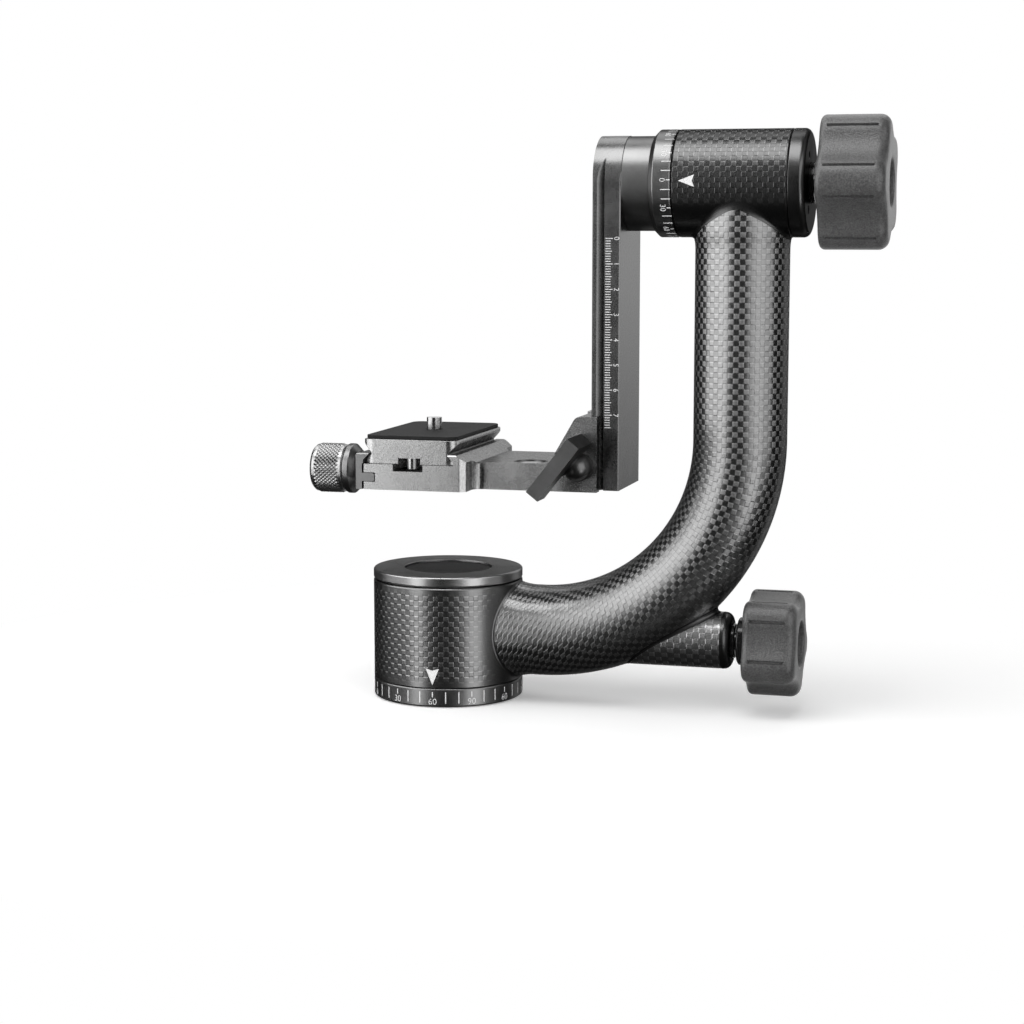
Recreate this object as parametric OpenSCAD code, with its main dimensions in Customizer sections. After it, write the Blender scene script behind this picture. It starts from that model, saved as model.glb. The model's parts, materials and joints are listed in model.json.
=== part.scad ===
// Gimbal tripod head: a panning base, a J-shaped carbon arm, a tilt axle and a swing arm with a
// sliding lens platform. The origin is the centre of the base's underside, +Z is up, +X points
// from the pan axis to the arm, and -Y is the front.

/* [Pan base] */
// Outer diameter of the dial, barrel and cap
base_d = 62.5; // [60:0.5:70]
// Height of the dial ring
pan_dial_h = 7.8; // [7:0.1:10]
// Height of the carbon barrel
pan_barrel_h = 41.1; // [40.5:0.1:46]
// Thickness of the cap
base_cap_h = 4.5; // [4:0.1:7]
// Diameter of the shallow recess in the cap
cap_recess_d = 36.6; // [24:0.2:46]
// Depth of the recess in the cap
cap_recess_depth = 1.6; // [1:0.1:2.5]
// Thickness of the base plate
base_plate_h = 5; // [4:0.1:5.5]
// Radial wall of the dial ring
pan_dial_wall = 5; // [4:0.1:6]
// Diameter of the tripod thread
tripod_thread_d = 9.525; // [6.35:0.005:9.525]
// Length of the tripod insert
tripod_insert_l = 10; // [9:0.1:11]

/* [Pan bearing] */
// Bore of the pan bearings
pan_bearing_bore = 25; // [22:0.5:27]
// Outer diameter of the pan bearings
pan_bearing_od = 37; // [36:0.5:40]
// Width of each pan bearing
pan_bearing_w = 7; // [6:0.1:7.5]
// Height of the lower bearing above the base plate
pan_bearing_lift = 5; // [4.6:0.1:6]
// Thread diameter at the top of the spindle
pan_nut_thread = 20; // [16:0.5:21]
// Thickness of the nut
pan_nut_h = 4; // [3:0.1:4.5]

/* [Arm] */
// Distance from the pan axis to the upright of the arm
arm_reach = 123; // [116:0.5:130]
// Outer diameter of the arm tube
arm_d = 37.6; // [34:0.2:39]
// Bend radius of the arm on its centre line
arm_bend_r = 81.5; // [70:0.5:85]
// Wall of the carbon pieces
carbon_wall = 2.4; // [2:0.1:3]
// Height of the tilt axis above the base
tilt_z = 212.25; // [200:0.25:230]
// Length of the metal plugs in the ends of the arm
plug_l = 16; // [10:0.5:22]
// Width of the moulded collar where the arm meets a barrel
arm_flare = 1.6; // [0.8:0.1:2]

/* [Tilt barrel] */
// Outer diameter of the tilt barrel, its dial and its end cap
tilt_d = 42.6; // [41.5:0.1:46]
// Length of the carbon tilt barrel
tilt_barrel_l = 45.4; // [44.5:0.1:50]
// Offset of the barrel's middle from the arm's upright
tilt_barrel_shift = -2.5; // [-5:0.1:2]
// Width of the tilt dial
tilt_dial_w = 9.2; // [8:0.1:12]
// Thickness of the end cap
tilt_cap_w = 6.5; // [5:0.1:8]
// Bore of the tilt bearings
tilt_bearing_bore = 20; // [18:0.5:21]
// Outer diameter of the tilt bearings
tilt_bearing_od = 32; // [30:0.5:32.5]
// Width of each tilt bearing
tilt_bearing_w = 7; // [6:0.1:7.5]

/* [Lock knobs] */
// Diameter of the tilt knob
tilt_knob_d = 53.8; // [48:0.2:60]
// Width of the tilt knob
tilt_knob_w = 27; // [22:0.5:32]
// Diameter of the pan knob
pan_knob_d = 44.4; // [40:0.2:50]
// Width of the pan knob
pan_knob_w = 21.5; // [18:0.5:26]
// Number of lobes on a knob
knob_lobes = 5; // [4:1:6]
// Rounding of the tilt knob's lobes
tilt_lobe_r = 9.6; // [9:0.1:11]
// Depth of the hollows in the tilt knob
tilt_lobe_depth = 5.2; // [4.6:0.1:6]
// Rounding of the pan knob's lobes
pan_lobe_r = 7.8; // [7.4:0.1:9]
// Depth of the hollows in the pan knob
pan_lobe_depth = 4.2; // [3.8:0.1:4.8]
// Rounding of the knobs' outer edge
knob_edge_r = 4.2; // [2:0.1:5]
// Diameter of the lock studs
stud_d = 8; // [6:0.5:9]
// Diameter of the carbon lock boss
boss_d = 23.2; // [21:0.2:26]
// How far the lock boss lies below the arm's level run
boss_drop = 0.5; // [0:0.1:1.5]
// How far the boss ends short of the arm's upright axis
boss_setback = 5.5; // [3:0.1:7]
// Diameter of the bushing's neck
bushing_neck_d = 14.2; // [12:0.2:16]
// Length of the bushing's neck
bushing_neck_l = 5.3; // [4:0.1:8]

/* [Swing arm] */
// Width of the rail
rail_w = 38; // [36:0.2:42]
// Thickness of the rail
rail_t = 11.4; // [10.6:0.1:14]
// Thickness of the rail's back plate
rail_plate_t = 6.4; // [5:0.1:6.6]
// Depth of the rail's side grooves
rail_groove = 2.6; // [2:0.1:3.5]
// Height of the rail's lower end
rail_bottom_z = 90.2; // [85:0.1:100]
// Length of the hub between the rail and the tilt dial
hub_l = 10.9; // [9:0.1:14]

/* [Platform] */
// Front to back depth of the bar
bar_depth = 46; // [45:0.5:52]
// Thickness of the bar
bar_t = 11; // [10.5:0.1:13]
// Height of the bracket that grips the rail
bracket_h = 30.3; // [28:0.1:36]
// Width of the bracket's top
bracket_top_w = 8.6; // [7:0.1:11]
// Width of the bracket at the bar
bracket_foot_w = 19.8; // [17:0.1:24]
// Length of the camera clamp, front to back
clamp_l = 72; // [64:0.5:78]
// Width between the clamp's lips at the bed
dovetail_w = 38; // [37:0.1:38.5]
// Distance of the clamp's middle from the pan axis
clamp_x = -5.8; // [-10:0.1:0]
// Diameter of the round level
level_d = 13.8; // [10:0.1:15]
// Place of the level, from the bracket's foot
level_back = 9.5; // [9:0.1:14]
// Gap between the level and the bar's front
level_inset = 1.7; // [1.2:0.1:6]

/* [Camera clamp] */
// Height of the lips above the bed
lip_h = 4.25; // [3.8:0.05:4.6]
// Thickness of the movable jaw at its ends
jaw_t = 2.6; // [2.2:0.1:4]
// Reach of the movable jaw's middle beyond its ends
jaw_bulge = 9.8; // [8:0.1:13]
// Gap between the jaw and the clamp at rest
jaw_gap = 0.8; // [0.5:0.1:1.2]
// Travel of the jaw
jaw_travel = 3.75; // [2.5:0.25:4]
// Diameter of the clamp knob
clamp_knob_d = 21; // [18:0.2:24]
// Length of the clamp knob's grip
clamp_knob_l = 14.4; // [12:0.2:18]
// Diameter of the clamp screw
clamp_screw_d = 6; // [5:0.5:6]

/* [Plate] */
// Length of the quick-release plate
plate_l = 68; // [60:0.5:76]
// Thickness of the plate
plate_t = 9.8; // [9:0.1:11]
// Thickness of the rubber pad
pad_t = 1.5; // [1:0.1:2.5]
// Diameter of the camera screw
camera_screw_d = 6.35; // [6.35:0.005:9.525]
// Length of the camera screw above the pad
camera_screw_up = 5; // [4:0.1:6]
// Distance of each stop screw from the plate's end
stop_inset = 4.5; // [3.5:0.1:7]
// Slide of the plate each way in the clamp
plate_travel = 9; // [4:0.5:10]

/* [Lever] */
// Diameter of the lever's hub
lever_hub_d = 11; // [10:0.1:12]
// Length of the lever's grip
lever_l = 27; // [22:0.5:32]
// Width of the lever's grip
lever_w = 6; // [5:0.1:7]
// Depth of the lever's grip
lever_depth = 11; // [8:0.1:12]
// Slope of the lever at rest, from the horizontal
lever_angle = 52; // [40:1:65]
// Diameter of the lever's draw stud
lever_stud_d = 5; // [4:0.1:5.5]

/* [Hidden] */

// Smoothness of round pieces, and the overlap that makes a cut run clear through
$fn = 96;
eps = 1;
corner_steps = 8;

// Clearances: bonded joints, running fits, turning seams, sliding faces and threads
bond_gap = 0.05;
run_gap = 0.05;
seam_gap = 0.3;
slide_gap = 0.2;
thread_gap = 0.1;

// Finishes
carbon_black = [0.09, 0.09, 0.1];
anodised_black = [0.07, 0.07, 0.08];
anodised_grey = [0.42, 0.42, 0.44];
bare_metal = [0.7, 0.7, 0.72];
steel = [0.55, 0.55, 0.57];
rubber_grey = [0.16, 0.16, 0.17];
rubber_black = [0.05, 0.05, 0.05];
bronze = [0.6, 0.47, 0.3];
glass_green = [0.4, 0.6, 0.35];

// Pan base, from the bottom up
base_r = base_d / 2;
barrel_z0 = pan_dial_h + seam_gap;
barrel_z1 = barrel_z0 + pan_barrel_h;
arm_z = (barrel_z0 + barrel_z1) / 2;
pan_core_r = base_r - carbon_wall - bond_gap;
barrel_edge_r = 0.8;
cap_edge = 0.5;
cap_spigot_h = 2.7;
cap_spigot_wall = 6;
housing_recess = 0.6;
housing_z0 = barrel_z0 + housing_recess;
housing_z1 = barrel_z1 - cap_spigot_h - bond_gap;
dial_bore_r = base_r - pan_dial_wall;
flange_h = 3.4;
flange_r = dial_bore_r - pan_dial_wall;
insert_wall = 3.2;
insert_rim = 1.8;
insert_r = tripod_thread_d / 2 + insert_wall;
insert_flange_r = insert_r + insert_rim;
insert_flange_h = 3;
spindle_screw_d = 4;
spindle_screw_n = 4;
spindle_screw_land = 2;
spindle_screw_r = insert_flange_r + spindle_screw_d / 2 + spindle_screw_land;
screw_tip_gap = 0.2;
screw_blind = 0.4;
screw_hex_r = 1.4;
screw_hex_depth = 1.4;
screw_head_h = 2.2;
pan_low_z = base_plate_h + pan_bearing_lift;
pan_bearing_drop = 4.4;
pan_high_z = housing_z1 - pan_bearing_w - pan_bearing_drop;
seat_step = 1;
seat_relief = 0.2;
spindle_tip = 0.8;
washer_t = 1.2;
washer_rim = 1.8;
nut_rim = 3;
pan_nut_z = pan_high_z + pan_bearing_w + washer_t;

// Bearings: balls, and how much of the ring each race takes
ball_share = 0.31;
race_share = 0.35;
pan_ball_r = (pan_bearing_od - pan_bearing_bore) / 2 * ball_share;
tilt_ball_r = (tilt_bearing_od - tilt_bearing_bore) / 2 * ball_share;
ball_count = 14;

// Arm
arm_r = arm_d / 2;
arm_in_r = arm_r - carbon_wall;
bend_x = arm_reach - arm_bend_r;
bend_z = arm_z + arm_bend_r;
arm_plug_r = arm_in_r - bond_gap;
boss_end_x = arm_reach - boss_setback;
boss_z = arm_z - boss_drop;
boss_r = boss_d / 2;
boss_in_r = boss_r - carbon_wall;
boss_root_x = bend_x + arm_r;
bushing_l = 22;
root_flare_in = 8;
root_flare_flat = 2;
root_flare_out = 5;
top_flare = 0.64;
top_flare_in = 3;
top_flare_out = 4.5;

// Tilt barrel along X
tilt_r = tilt_d / 2;
tilt_x0 = arm_reach + tilt_barrel_shift - tilt_barrel_l / 2;
tilt_x1 = tilt_x0 + tilt_barrel_l;
tilt_core_r = tilt_r - carbon_wall - bond_gap;
tilt_cap_spigot = 3.2;
tilt_housing_recess = 0.4;
tilt_housing_x0 = tilt_x0 + tilt_housing_recess;
tilt_housing_x1 = tilt_x1 - tilt_cap_spigot - bond_gap;
tilt_seat_r = tilt_bearing_od / 2 + bond_gap;
tilt_mid_r = tilt_seat_r - seat_step;
tilt_bearing_inset = 0.8;
tilt_bearing_spread = 23.2;
tilt_left_x = tilt_housing_x0 + tilt_bearing_inset;
tilt_right_x = tilt_left_x + tilt_bearing_spread;
tilt_nut_x = tilt_right_x + tilt_bearing_w + washer_t;
tilt_nut_w = 4;
nut_thread_step = 2;
tilt_nut_thread_r = tilt_bearing_bore / 2 - nut_thread_step;
tilt_spindle_tip = 1.2;
tilt_spindle_x1 = tilt_nut_x + tilt_nut_w + tilt_spindle_tip;
brake_disc_w = 4;
tilt_disc_x1 = tilt_spindle_x1 + run_gap + brake_disc_w;
tilt_cap_x1 = tilt_x1 + tilt_cap_w;
tilt_cap_edge_r = 2.4;
spanner_hole_n = 3;
spanner_hole_d = 3.2;
spanner_hole_r = 12;
spanner_hole_depth = 3;
spanner_hole_turn = -60;
cap_seam = 0.2;

// Lock studs, brakes and knobs
stud_r = stud_d / 2;
bush_flange_t = 1.2;
bush_wall = 4;
bush_rim = 2.5;
drum_step = 2;
drum_r = pan_bearing_bore / 2 + drum_step;
shoe_rim = 0.6;
shoe_r = stud_r + shoe_rim;
shoe_l = 9.6;
shoe_x1 = drum_r + shoe_l;
ring_gap = 0.9;
ring_l = 3.8;
pan_ring_x = boss_end_x + bushing_neck_l + ring_gap;
pan_knob_x = pan_ring_x + ring_l;
ring_r = 9.8;
tilt_bush_neck = 2;
tilt_ring_x = tilt_cap_x1 + tilt_bush_neck + ring_gap;
tilt_ring_l = 1.6;
tilt_knob_x = tilt_ring_x + tilt_ring_l;
knob_recess_r = 9.3;
knob_recess_depth = 8;
bolt_head_r = 6;
bolt_head_h = 5;
bolt_hex_r = 3.2;
bolt_hex_depth = 3;
bolt_l = 9;
bolt_r = 2.5;
bolt_edge = 0.6;
bolt_blind = 1;
knob_inner_edge_r = 2.2;
pan_knob_turn = 7.4;
tilt_knob_turn = 53.2;
grip_line_angle = 13.75;
grip_line_w = 0.7;
grip_line_depth = 0.5;
grip_line_inset = 3;
grip_line_outset = 4;

// Swing arm
dial_x0 = tilt_x0 - seam_gap - tilt_dial_w;
hub_x0 = dial_x0 - hub_l;
rail_x0 = hub_x0 - rail_t;
rail_r = rail_w / 2;
hub_inset = 0.2;
hub_r = rail_r - hub_inset;
rail_lip = 1.9;
rail_edge = 0.5;
tilt_dial_wall = 5.4;
hub_spigot_r = tilt_r - tilt_dial_wall;
hub_floor = 3;
spigot_recess = 0.4;
dial_chamfer = 2;
rail_screw_d = 4;
rail_screw_n = 4;
rail_screw_r = 13;
rail_screw_l = 13;
rail_head_h = 4;
rail_head_sink = 0.2;
rail_hex_share = 0.45;
rail_hex_depth = 2.4;
head_d_factor = 1.75;

// Platform, from its underside up
platform_drop = 0.5;
plat_z0 = rail_bottom_z - platform_drop;
bar_z1 = plat_z0 + bar_t;
bed_drop = 0.6;
bed_z = bar_z1 - bed_drop;
bar_y = bar_depth / 2;
rail_grip = 3.2;
bracket_x1 = rail_x0 + rail_grip;
bracket_x0 = bracket_x1 - bracket_foot_w;
bracket_z1 = plat_z0 + bracket_h;
channel_x = rail_x0 - slide_gap;
bracket_crown_r = 3;
bracket_knee_r = 4;
level_x = bracket_x0 - level_back;
level_y = -bar_y + level_inset + level_d / 2;
level_depth = 6;
level_rim = 1;
level_floor = 1;
level_sink = 0.4;

// Camera clamp
clamp_y = clamp_l / 2;
lip_x = clamp_x + dovetail_w / 2;
body_inset = 0.3;
body_x0 = clamp_x - dovetail_w / 2 + body_inset;
lip_root_h = 1.6;
lip_nose = 0.4;
lip_reach = lip_h - lip_root_h - lip_nose;
lip_flat = 3.4;
lip_crown_r = 0.9;
lip_bevel = 0.4;
lip_run = 6.4;
lip_z1 = bed_z + lip_h;
lip_foot_x = lip_x + lip_run;
shoulder_run = 2.7;
shoulder_x = lip_x + shoulder_run;
shoulder_r = 0.6;
flank_run = 5.1;
flank_x = lip_x + flank_run;
flank_cut = 1.7;
flank_r = 4;
tongue_t = 3.4;
tongue_hold = 0.65;
tongue_l = jaw_gap + jaw_travel + tongue_hold;
tongue_h = 3.3;
tongue_z = plat_z0 + tongue_h;
tongue_room = 0.4;
clamp_axis_h = 4.2;
clamp_axis_z = plat_z0 + clamp_axis_h;
jaw_x1 = body_x0 - jaw_gap;
jaw_x0 = jaw_x1 - jaw_t;
jaw_flank = 14;
jaw_boss_half = 10.5;
jaw_flank_r = 8;
jaw_corner_r = 3;
tongue_r = 0.9;
collar_l = 6;
collar_x1 = jaw_x0 - jaw_bulge - slide_gap;
collar_edge = 0.8;
clamp_knob_edge = 1.4;
clamp_knob_floor = 3;
clamp_knob_x1 = collar_x1 - collar_l;
collar_chamfer = 3;
screw_reach = 22;
screw_short = 2;
bed_channel_w = 12.6;
bed_channel_depth = 2.8;

// Quick-release plate
plate_lift = 0.05;
plate_z0 = bed_z + plate_lift;
plate_z1 = plate_z0 + plate_t;
plate_fit = 0.15;
plate_foot_h = lip_root_h - slide_gap;
plate_half = dovetail_w / 2 - plate_fit;
plate_flare = 1.2;
plate_top_half = plate_half + plate_flare;
plate_room = 0.4;
plate_notch = lip_h - lip_root_h;
plate_corner_r = 4.5;
plate_edge = 0.5;
plate_flange_h = 1.35;
plate_slot_w = 9.4;
plate_slot_h = 2.3;
pad_inset = 0.8;
screw_head_r = 7.5;
screw_head_t = 3;
head_pocket_h = 3.4;
screw_slot_w = 1.6;
screw_slot_depth = 1.6;
screw_neck_step = 0.7;
stop_r = 1.6;
stop_head_r = 2.4;
stop_down = 2.2;
stop_up = 5;
stop_y = plate_l / 2 - stop_inset;
bed_channel_l = clamp_y - stop_y + stop_head_r + plate_travel + 2 * slide_gap;

// Rail jaw and lever
jaw_grip = 1.2;
jaw_split_y = rail_r - rail_groove - jaw_grip;
rail_jaw_w = 13;
rail_jaw_x0 = bracket_x1 - rail_jaw_w;
jaw_window = 8;
rail_jaw_inset = 1;
lever_setback = 3.6;
lever_x = rail_x0 - lever_setback;
lever_rise = 10.4;
lever_z = plat_z0 + lever_rise;
lever_gap = 0.4;
lever_hub_l = lever_hub_d / 2 - lever_gap;
lever_offset = 4.9;
lever_upper = 10.5;
lever_front = 22;
lever_leg_t = 4.5;
lever_stud_short = 0.5;
lever_stud_blind = 0.1;

// Points of an outline whose corners are given as [x, y, rounding]
function unit(v) = v / norm(v);
function flat(p) = [p[0], p[1]];
function corner(p, q, s, r) =
    r == 0 ? [q] :
    let (a = unit(p - q), b = unit(s - q), half = acos(a * b) / 2, reach = r / tan(half),
        c = q + unit(a + b) * (r / sin(half)), from = q + a * reach - c, to = q + b * reach - c,
        start = atan2(from[1], from[0]), sweep = (atan2(to[1], to[0]) - start + 540) % 360 - 180)
    [for (i = [0 : corner_steps])
        let (turn = start + sweep * i / corner_steps) c + r * [cos(turn), sin(turn)]];
function rounded(points) = let (n = len(points)) [
    for (i = [0 : n - 1])
        each corner(flat(points[(i + n - 1) % n]), flat(points[i]), flat(points[(i + 1) % n]), points[i][2])
];

// Shapes that several pieces share

// A cylinder along X between two places
module x_rod(r, x0, x1) {
    translate([x0, 0, 0]) rotate([0, 90, 0]) cylinder(r = r, h = x1 - x0);
}

// A revolved profile about X: its polygon is given as [radius, x] points
module x_lathe(points) {
    rotate([0, 90, 0]) rotate_extrude() polygon(points);
}

// Carries its children to the tilt axis
module at_tilt() {
    translate([0, 0, tilt_z]) children();
}

// Carries its children to the axis of the arm's level run
module at_arm() {
    translate([0, 0, arm_z]) children();
}

// Carries its children to the lock boss axis
module at_boss() {
    translate([0, 0, boss_z]) children();
}

// One bearing ring about Z from radius a to b, with the ball groove
module race(a, b, w, pitch_r, ball_r) {
    rotate_extrude() difference() {
        translate([a, 0]) square([b - a, w]);
        translate([pitch_r, w / 2]) circle(r = ball_r + run_gap);
    }
}

module inner_race(bore, od, w, ball_r) {
    ring = (od - bore) / 2;
    race(bore / 2 + bond_gap, bore / 2 + ring * race_share, w, (bore + od) / 4, ball_r);
}

module outer_race(bore, od, w, ball_r) {
    ring = (od - bore) / 2;
    race(od / 2 - ring * race_share, od / 2, w, (bore + od) / 4, ball_r);
}

module ball_ring(bore, od, w, ball_r) {
    for (i = [0 : ball_count - 1])
        rotate([0, 0, i * 360 / ball_count])
            translate([(bore + od) / 4, 0, w / 2]) sphere(r = ball_r, $fn = 32);
}

// Stands a shape made about Z on the tilt axis at a place along X
module tilt_stack(x) {
    at_tilt() translate([x, 0, 0]) rotate([0, 90, 0]) children();
}

// The J tube: a level run, a quarter bend and an upright
module arm_sweep(r) {
    at_arm() x_rod(r, 0, bend_x);
    translate([bend_x, 0, bend_z]) rotate([90, 0, 0]) rotate([0, 0, -90])
        rotate_extrude(angle = 90) translate([arm_bend_r, 0]) circle(r = r);
    translate([arm_reach, 0, bend_z]) cylinder(r = r, h = tilt_z - bend_z);
}

// Outline of a star knob: lobe circles joined by hollows that touch them
module star_plan(r, lobe_r, depth) {
    half = 180 / knob_lobes;
    lobe_at = r - lobe_r;
    waist = r - depth;
    hollow_r = (lobe_at * lobe_at + waist * waist - 2 * lobe_at * waist * cos(half) - lobe_r * lobe_r)
        / (2 * (lobe_r - waist + lobe_at * cos(half)));
    hollow_at = waist + hollow_r;
    difference() {
        union() {
            polygon([for (i = [0 : 2 * knob_lobes - 1])
                (i % 2 == 0 ? lobe_at : hollow_at) * [cos(i * half), sin(i * half)]]);
            for (i = [0 : knob_lobes - 1])
                rotate(2 * i * half) translate([lobe_at, 0]) circle(r = lobe_r);
        }
        for (i = [0 : knob_lobes - 1])
            rotate((2 * i + 1) * half) translate([hollow_at, 0]) circle(r = hollow_r);
    }
}

// Engraved lines along the flanks of a star knob's lobes
module grip_lines(w, r, lobe_r) {
    lobe_at = r - lobe_r;
    off = lobe_at * sin(grip_line_angle);
    line_at = lobe_at * cos(grip_line_angle) + sqrt(lobe_r * lobe_r - off * off);
    for (i = [0 : knob_lobes - 1])
        for (side = [-1, 1])
            rotate([0, 0, i * 360 / knob_lobes + side * grip_line_angle])
                translate([line_at - grip_line_depth, -grip_line_w / 2, grip_line_inset])
                    cube([lobe_r, grip_line_w, w - grip_line_inset - grip_line_outset]);
}

// Star knob about X from its inner face at 0, with rounded ends, a stud bore and a bolt recess
module star_knob(d, w, lobe_r, depth, turn) {
    r = d / 2;
    difference() {
        intersection() {
            rotate([turn, 0, 0]) rotate([0, 90, 0]) linear_extrude(w) star_plan(r, lobe_r, depth);
            rotate([0, 90, 0]) rotate_extrude() {
                translate([0, knob_inner_edge_r]) square([r + eps, w - knob_inner_edge_r - knob_edge_r]);
                square([r - knob_inner_edge_r, w]);
                translate([r - knob_inner_edge_r, knob_inner_edge_r]) circle(r = knob_inner_edge_r);
                translate([r - knob_edge_r, w - knob_edge_r]) circle(r = knob_edge_r);
                translate([0, w - knob_edge_r]) square([r - knob_edge_r, knob_edge_r]);
            }
        }
        rotate([turn, 0, 0]) rotate([0, 90, 0]) grip_lines(w, r, lobe_r);
        x_rod(stud_r + bond_gap, -eps, w + eps);
        x_rod(knob_recess_r, w - knob_recess_depth, w + eps);
    }
}

// Socket-head bolt along X: the head's outer face is at 0 and the shank points to -X
module knob_bolt() {
    difference() {
        union() {
            x_lathe([[0, -bolt_head_h], [bolt_head_r, -bolt_head_h], [bolt_head_r, -bolt_edge],
                [bolt_head_r - bolt_edge, 0], [0, 0]]);
            x_rod(bolt_r, -bolt_head_h - bolt_l, -bolt_head_h);
        }
        translate([-bolt_hex_depth, 0, 0]) rotate([0, 90, 0])
            cylinder(r = bolt_hex_r, h = bolt_hex_depth + eps, $fn = 6);
    }
}

// Stud along X with a threaded socket for the knob bolt in its outer end
module lock_stud(x0, x1) {
    difference() {
        x_rod(stud_r, x0, x1);
        x_rod(bolt_r + thread_gap, x1 - bolt_l - bolt_blind, x1 + eps);
    }
}

// Base

module base_plate() {
    color(anodised_black) difference() {
        cylinder(r = dial_bore_r - bond_gap, h = base_plate_h);
        translate([0, 0, -eps]) cylinder(r = insert_r + bond_gap, h = base_plate_h + 2 * eps);
        screw_ring() {
            cylinder_from(spindle_screw_d / 2 + thread_gap, -eps, base_plate_h + eps);
            cylinder_from(spindle_screw_d * head_d_factor / 2 + thread_gap, -eps, screw_head_h);
        }
    }
}

module tripod_insert() {
    color(steel) difference() {
        union() {
            cylinder(r = insert_r, h = tripod_insert_l);
            translate([0, 0, base_plate_h]) cylinder(r = insert_flange_r, h = insert_flange_h);
        }
        translate([0, 0, -eps]) cylinder(r = tripod_thread_d / 2, h = tripod_insert_l + 2 * eps);
    }
}

module pan_dial() {
    color(anodised_black) rotate_extrude()
        polygon([[dial_bore_r, 0], [base_r - cap_edge, 0], [base_r, cap_edge],
            [base_r, pan_dial_h - cap_edge], [base_r - cap_edge, pan_dial_h],
            [flange_r + slide_gap, pan_dial_h], [flange_r + slide_gap, base_plate_h],
            [dial_bore_r, base_plate_h]]);
}

module screw_ring() {
    for (i = [0 : spindle_screw_n - 1])
        rotate([0, 0, 45 + i * 360 / spindle_screw_n]) translate([spindle_screw_r, 0, 0]) children();
}

module pan_spindle() {
    seat_r = pan_bearing_bore / 2;
    top_z = pan_nut_z + pan_nut_h + spindle_tip;
    thread_z = pan_high_z + pan_bearing_w - seat_relief;
    color(bare_metal) difference() {
        rotate_extrude() polygon([[0, base_plate_h], [flange_r, base_plate_h],
            [flange_r, base_plate_h + flange_h],
            [drum_r, base_plate_h + flange_h], [drum_r, pan_low_z], [seat_r, pan_low_z],
            [seat_r, pan_low_z + pan_bearing_w], [drum_r, pan_low_z + pan_bearing_w], [drum_r, pan_high_z],
            [seat_r, pan_high_z], [seat_r, thread_z],
            [pan_nut_thread / 2, thread_z], [pan_nut_thread / 2, top_z], [0, top_z]]);
        translate([0, 0, base_plate_h - eps])
            cylinder(r = insert_flange_r + bond_gap, h = insert_flange_h + bond_gap + eps);
        translate([0, 0, base_plate_h - eps])
            cylinder(r = insert_r + bond_gap, h = tripod_insert_l - base_plate_h + bond_gap + eps);
        screw_ring() translate([0, 0, base_plate_h - eps])
            cylinder(r = spindle_screw_d / 2 + thread_gap, h = flange_h - screw_blind + eps);
    }
}

module spindle_screws() {
    color(steel) screw_ring() difference() {
        union() {
            cylinder_from(spindle_screw_d * head_d_factor / 2, screw_tip_gap, screw_head_h);
            cylinder_from(spindle_screw_d / 2, screw_tip_gap,
                base_plate_h + flange_h - screw_blind - screw_tip_gap);
        }
        cylinder_from(screw_hex_r, -eps, screw_hex_depth, $fn = 6);
    }
}

module cylinder_from(r, z0, z1) {
    translate([0, 0, z0]) cylinder(r = r, h = z1 - z0);
}

module pan_inner_races() {
    color(steel) for (z = [pan_low_z, pan_high_z])
        translate([0, 0, z]) inner_race(pan_bearing_bore, pan_bearing_od, pan_bearing_w, pan_ball_r);
}

module pan_washer() {
    color(steel) translate([0, 0, pan_high_z + pan_bearing_w]) difference() {
        cylinder(r = drum_r, h = washer_t);
        translate([0, 0, -eps]) cylinder(r = pan_nut_thread / 2 + thread_gap, h = washer_t + 2 * eps);
    }
}

module pan_nut() {
    color(steel) translate([0, 0, pan_nut_z]) difference() {
        cylinder(r = drum_r + seat_step, h = pan_nut_h, $fn = 6);
        translate([0, 0, -eps]) cylinder(r = pan_nut_thread / 2 + thread_gap, h = pan_nut_h + 2 * eps);
    }
}

// Arm

module pan_barrel() {
    color(carbon_black) difference() {
        rotate_extrude() difference() {
            translate([base_r - carbon_wall, barrel_z0]) square([carbon_wall, pan_barrel_h]);
            translate([base_r - barrel_edge_r, barrel_z1 - barrel_edge_r]) difference() {
                square(barrel_edge_r + eps);
                circle(r = barrel_edge_r);
            }
        }
        at_arm() x_rod(arm_in_r, 0, base_r + eps);
    }
}

module pan_housing() {
    seat_r = pan_bearing_od / 2 + bond_gap;
    color(bare_metal) difference() {
        rotate_extrude() polygon([[seat_r, housing_z0], [pan_core_r, housing_z0], [pan_core_r, housing_z1],
            [seat_r, housing_z1], [seat_r, pan_high_z], [seat_r - seat_step, pan_high_z],
            [seat_r - seat_step, pan_low_z + pan_bearing_w], [seat_r, pan_low_z + pan_bearing_w]]);
        at_boss() x_rod(shoe_r + run_gap, 0, base_r);
    }
}

module pan_outer_races() {
    color(steel) for (z = [pan_low_z, pan_high_z])
        translate([0, 0, z]) outer_race(pan_bearing_bore, pan_bearing_od, pan_bearing_w, pan_ball_r);
}

module pan_balls() {
    color(steel) for (z = [pan_low_z, pan_high_z])
        translate([0, 0, z]) ball_ring(pan_bearing_bore, pan_bearing_od, pan_bearing_w, pan_ball_r);
}

module base_cap() {
    cap_z0 = barrel_z1 + seam_gap;
    cap_z1 = barrel_z1 + base_cap_h;
    color(anodised_black) difference() {
        rotate_extrude() polygon([[0, cap_z0], [pan_core_r - cap_spigot_wall, cap_z0],
            [pan_core_r - cap_spigot_wall, housing_z1 + bond_gap], [pan_core_r, housing_z1 + bond_gap],
            [pan_core_r, cap_z0], [base_r - cap_edge, cap_z0], [base_r, cap_z0 + cap_edge],
            [base_r, cap_z1 - cap_edge], [base_r - cap_edge, cap_z1], [0, cap_z1]]);
        cylinder_from(cap_recess_d / 2, cap_z1 - cap_recess_depth, cap_z1 + eps);
    }
}

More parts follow.
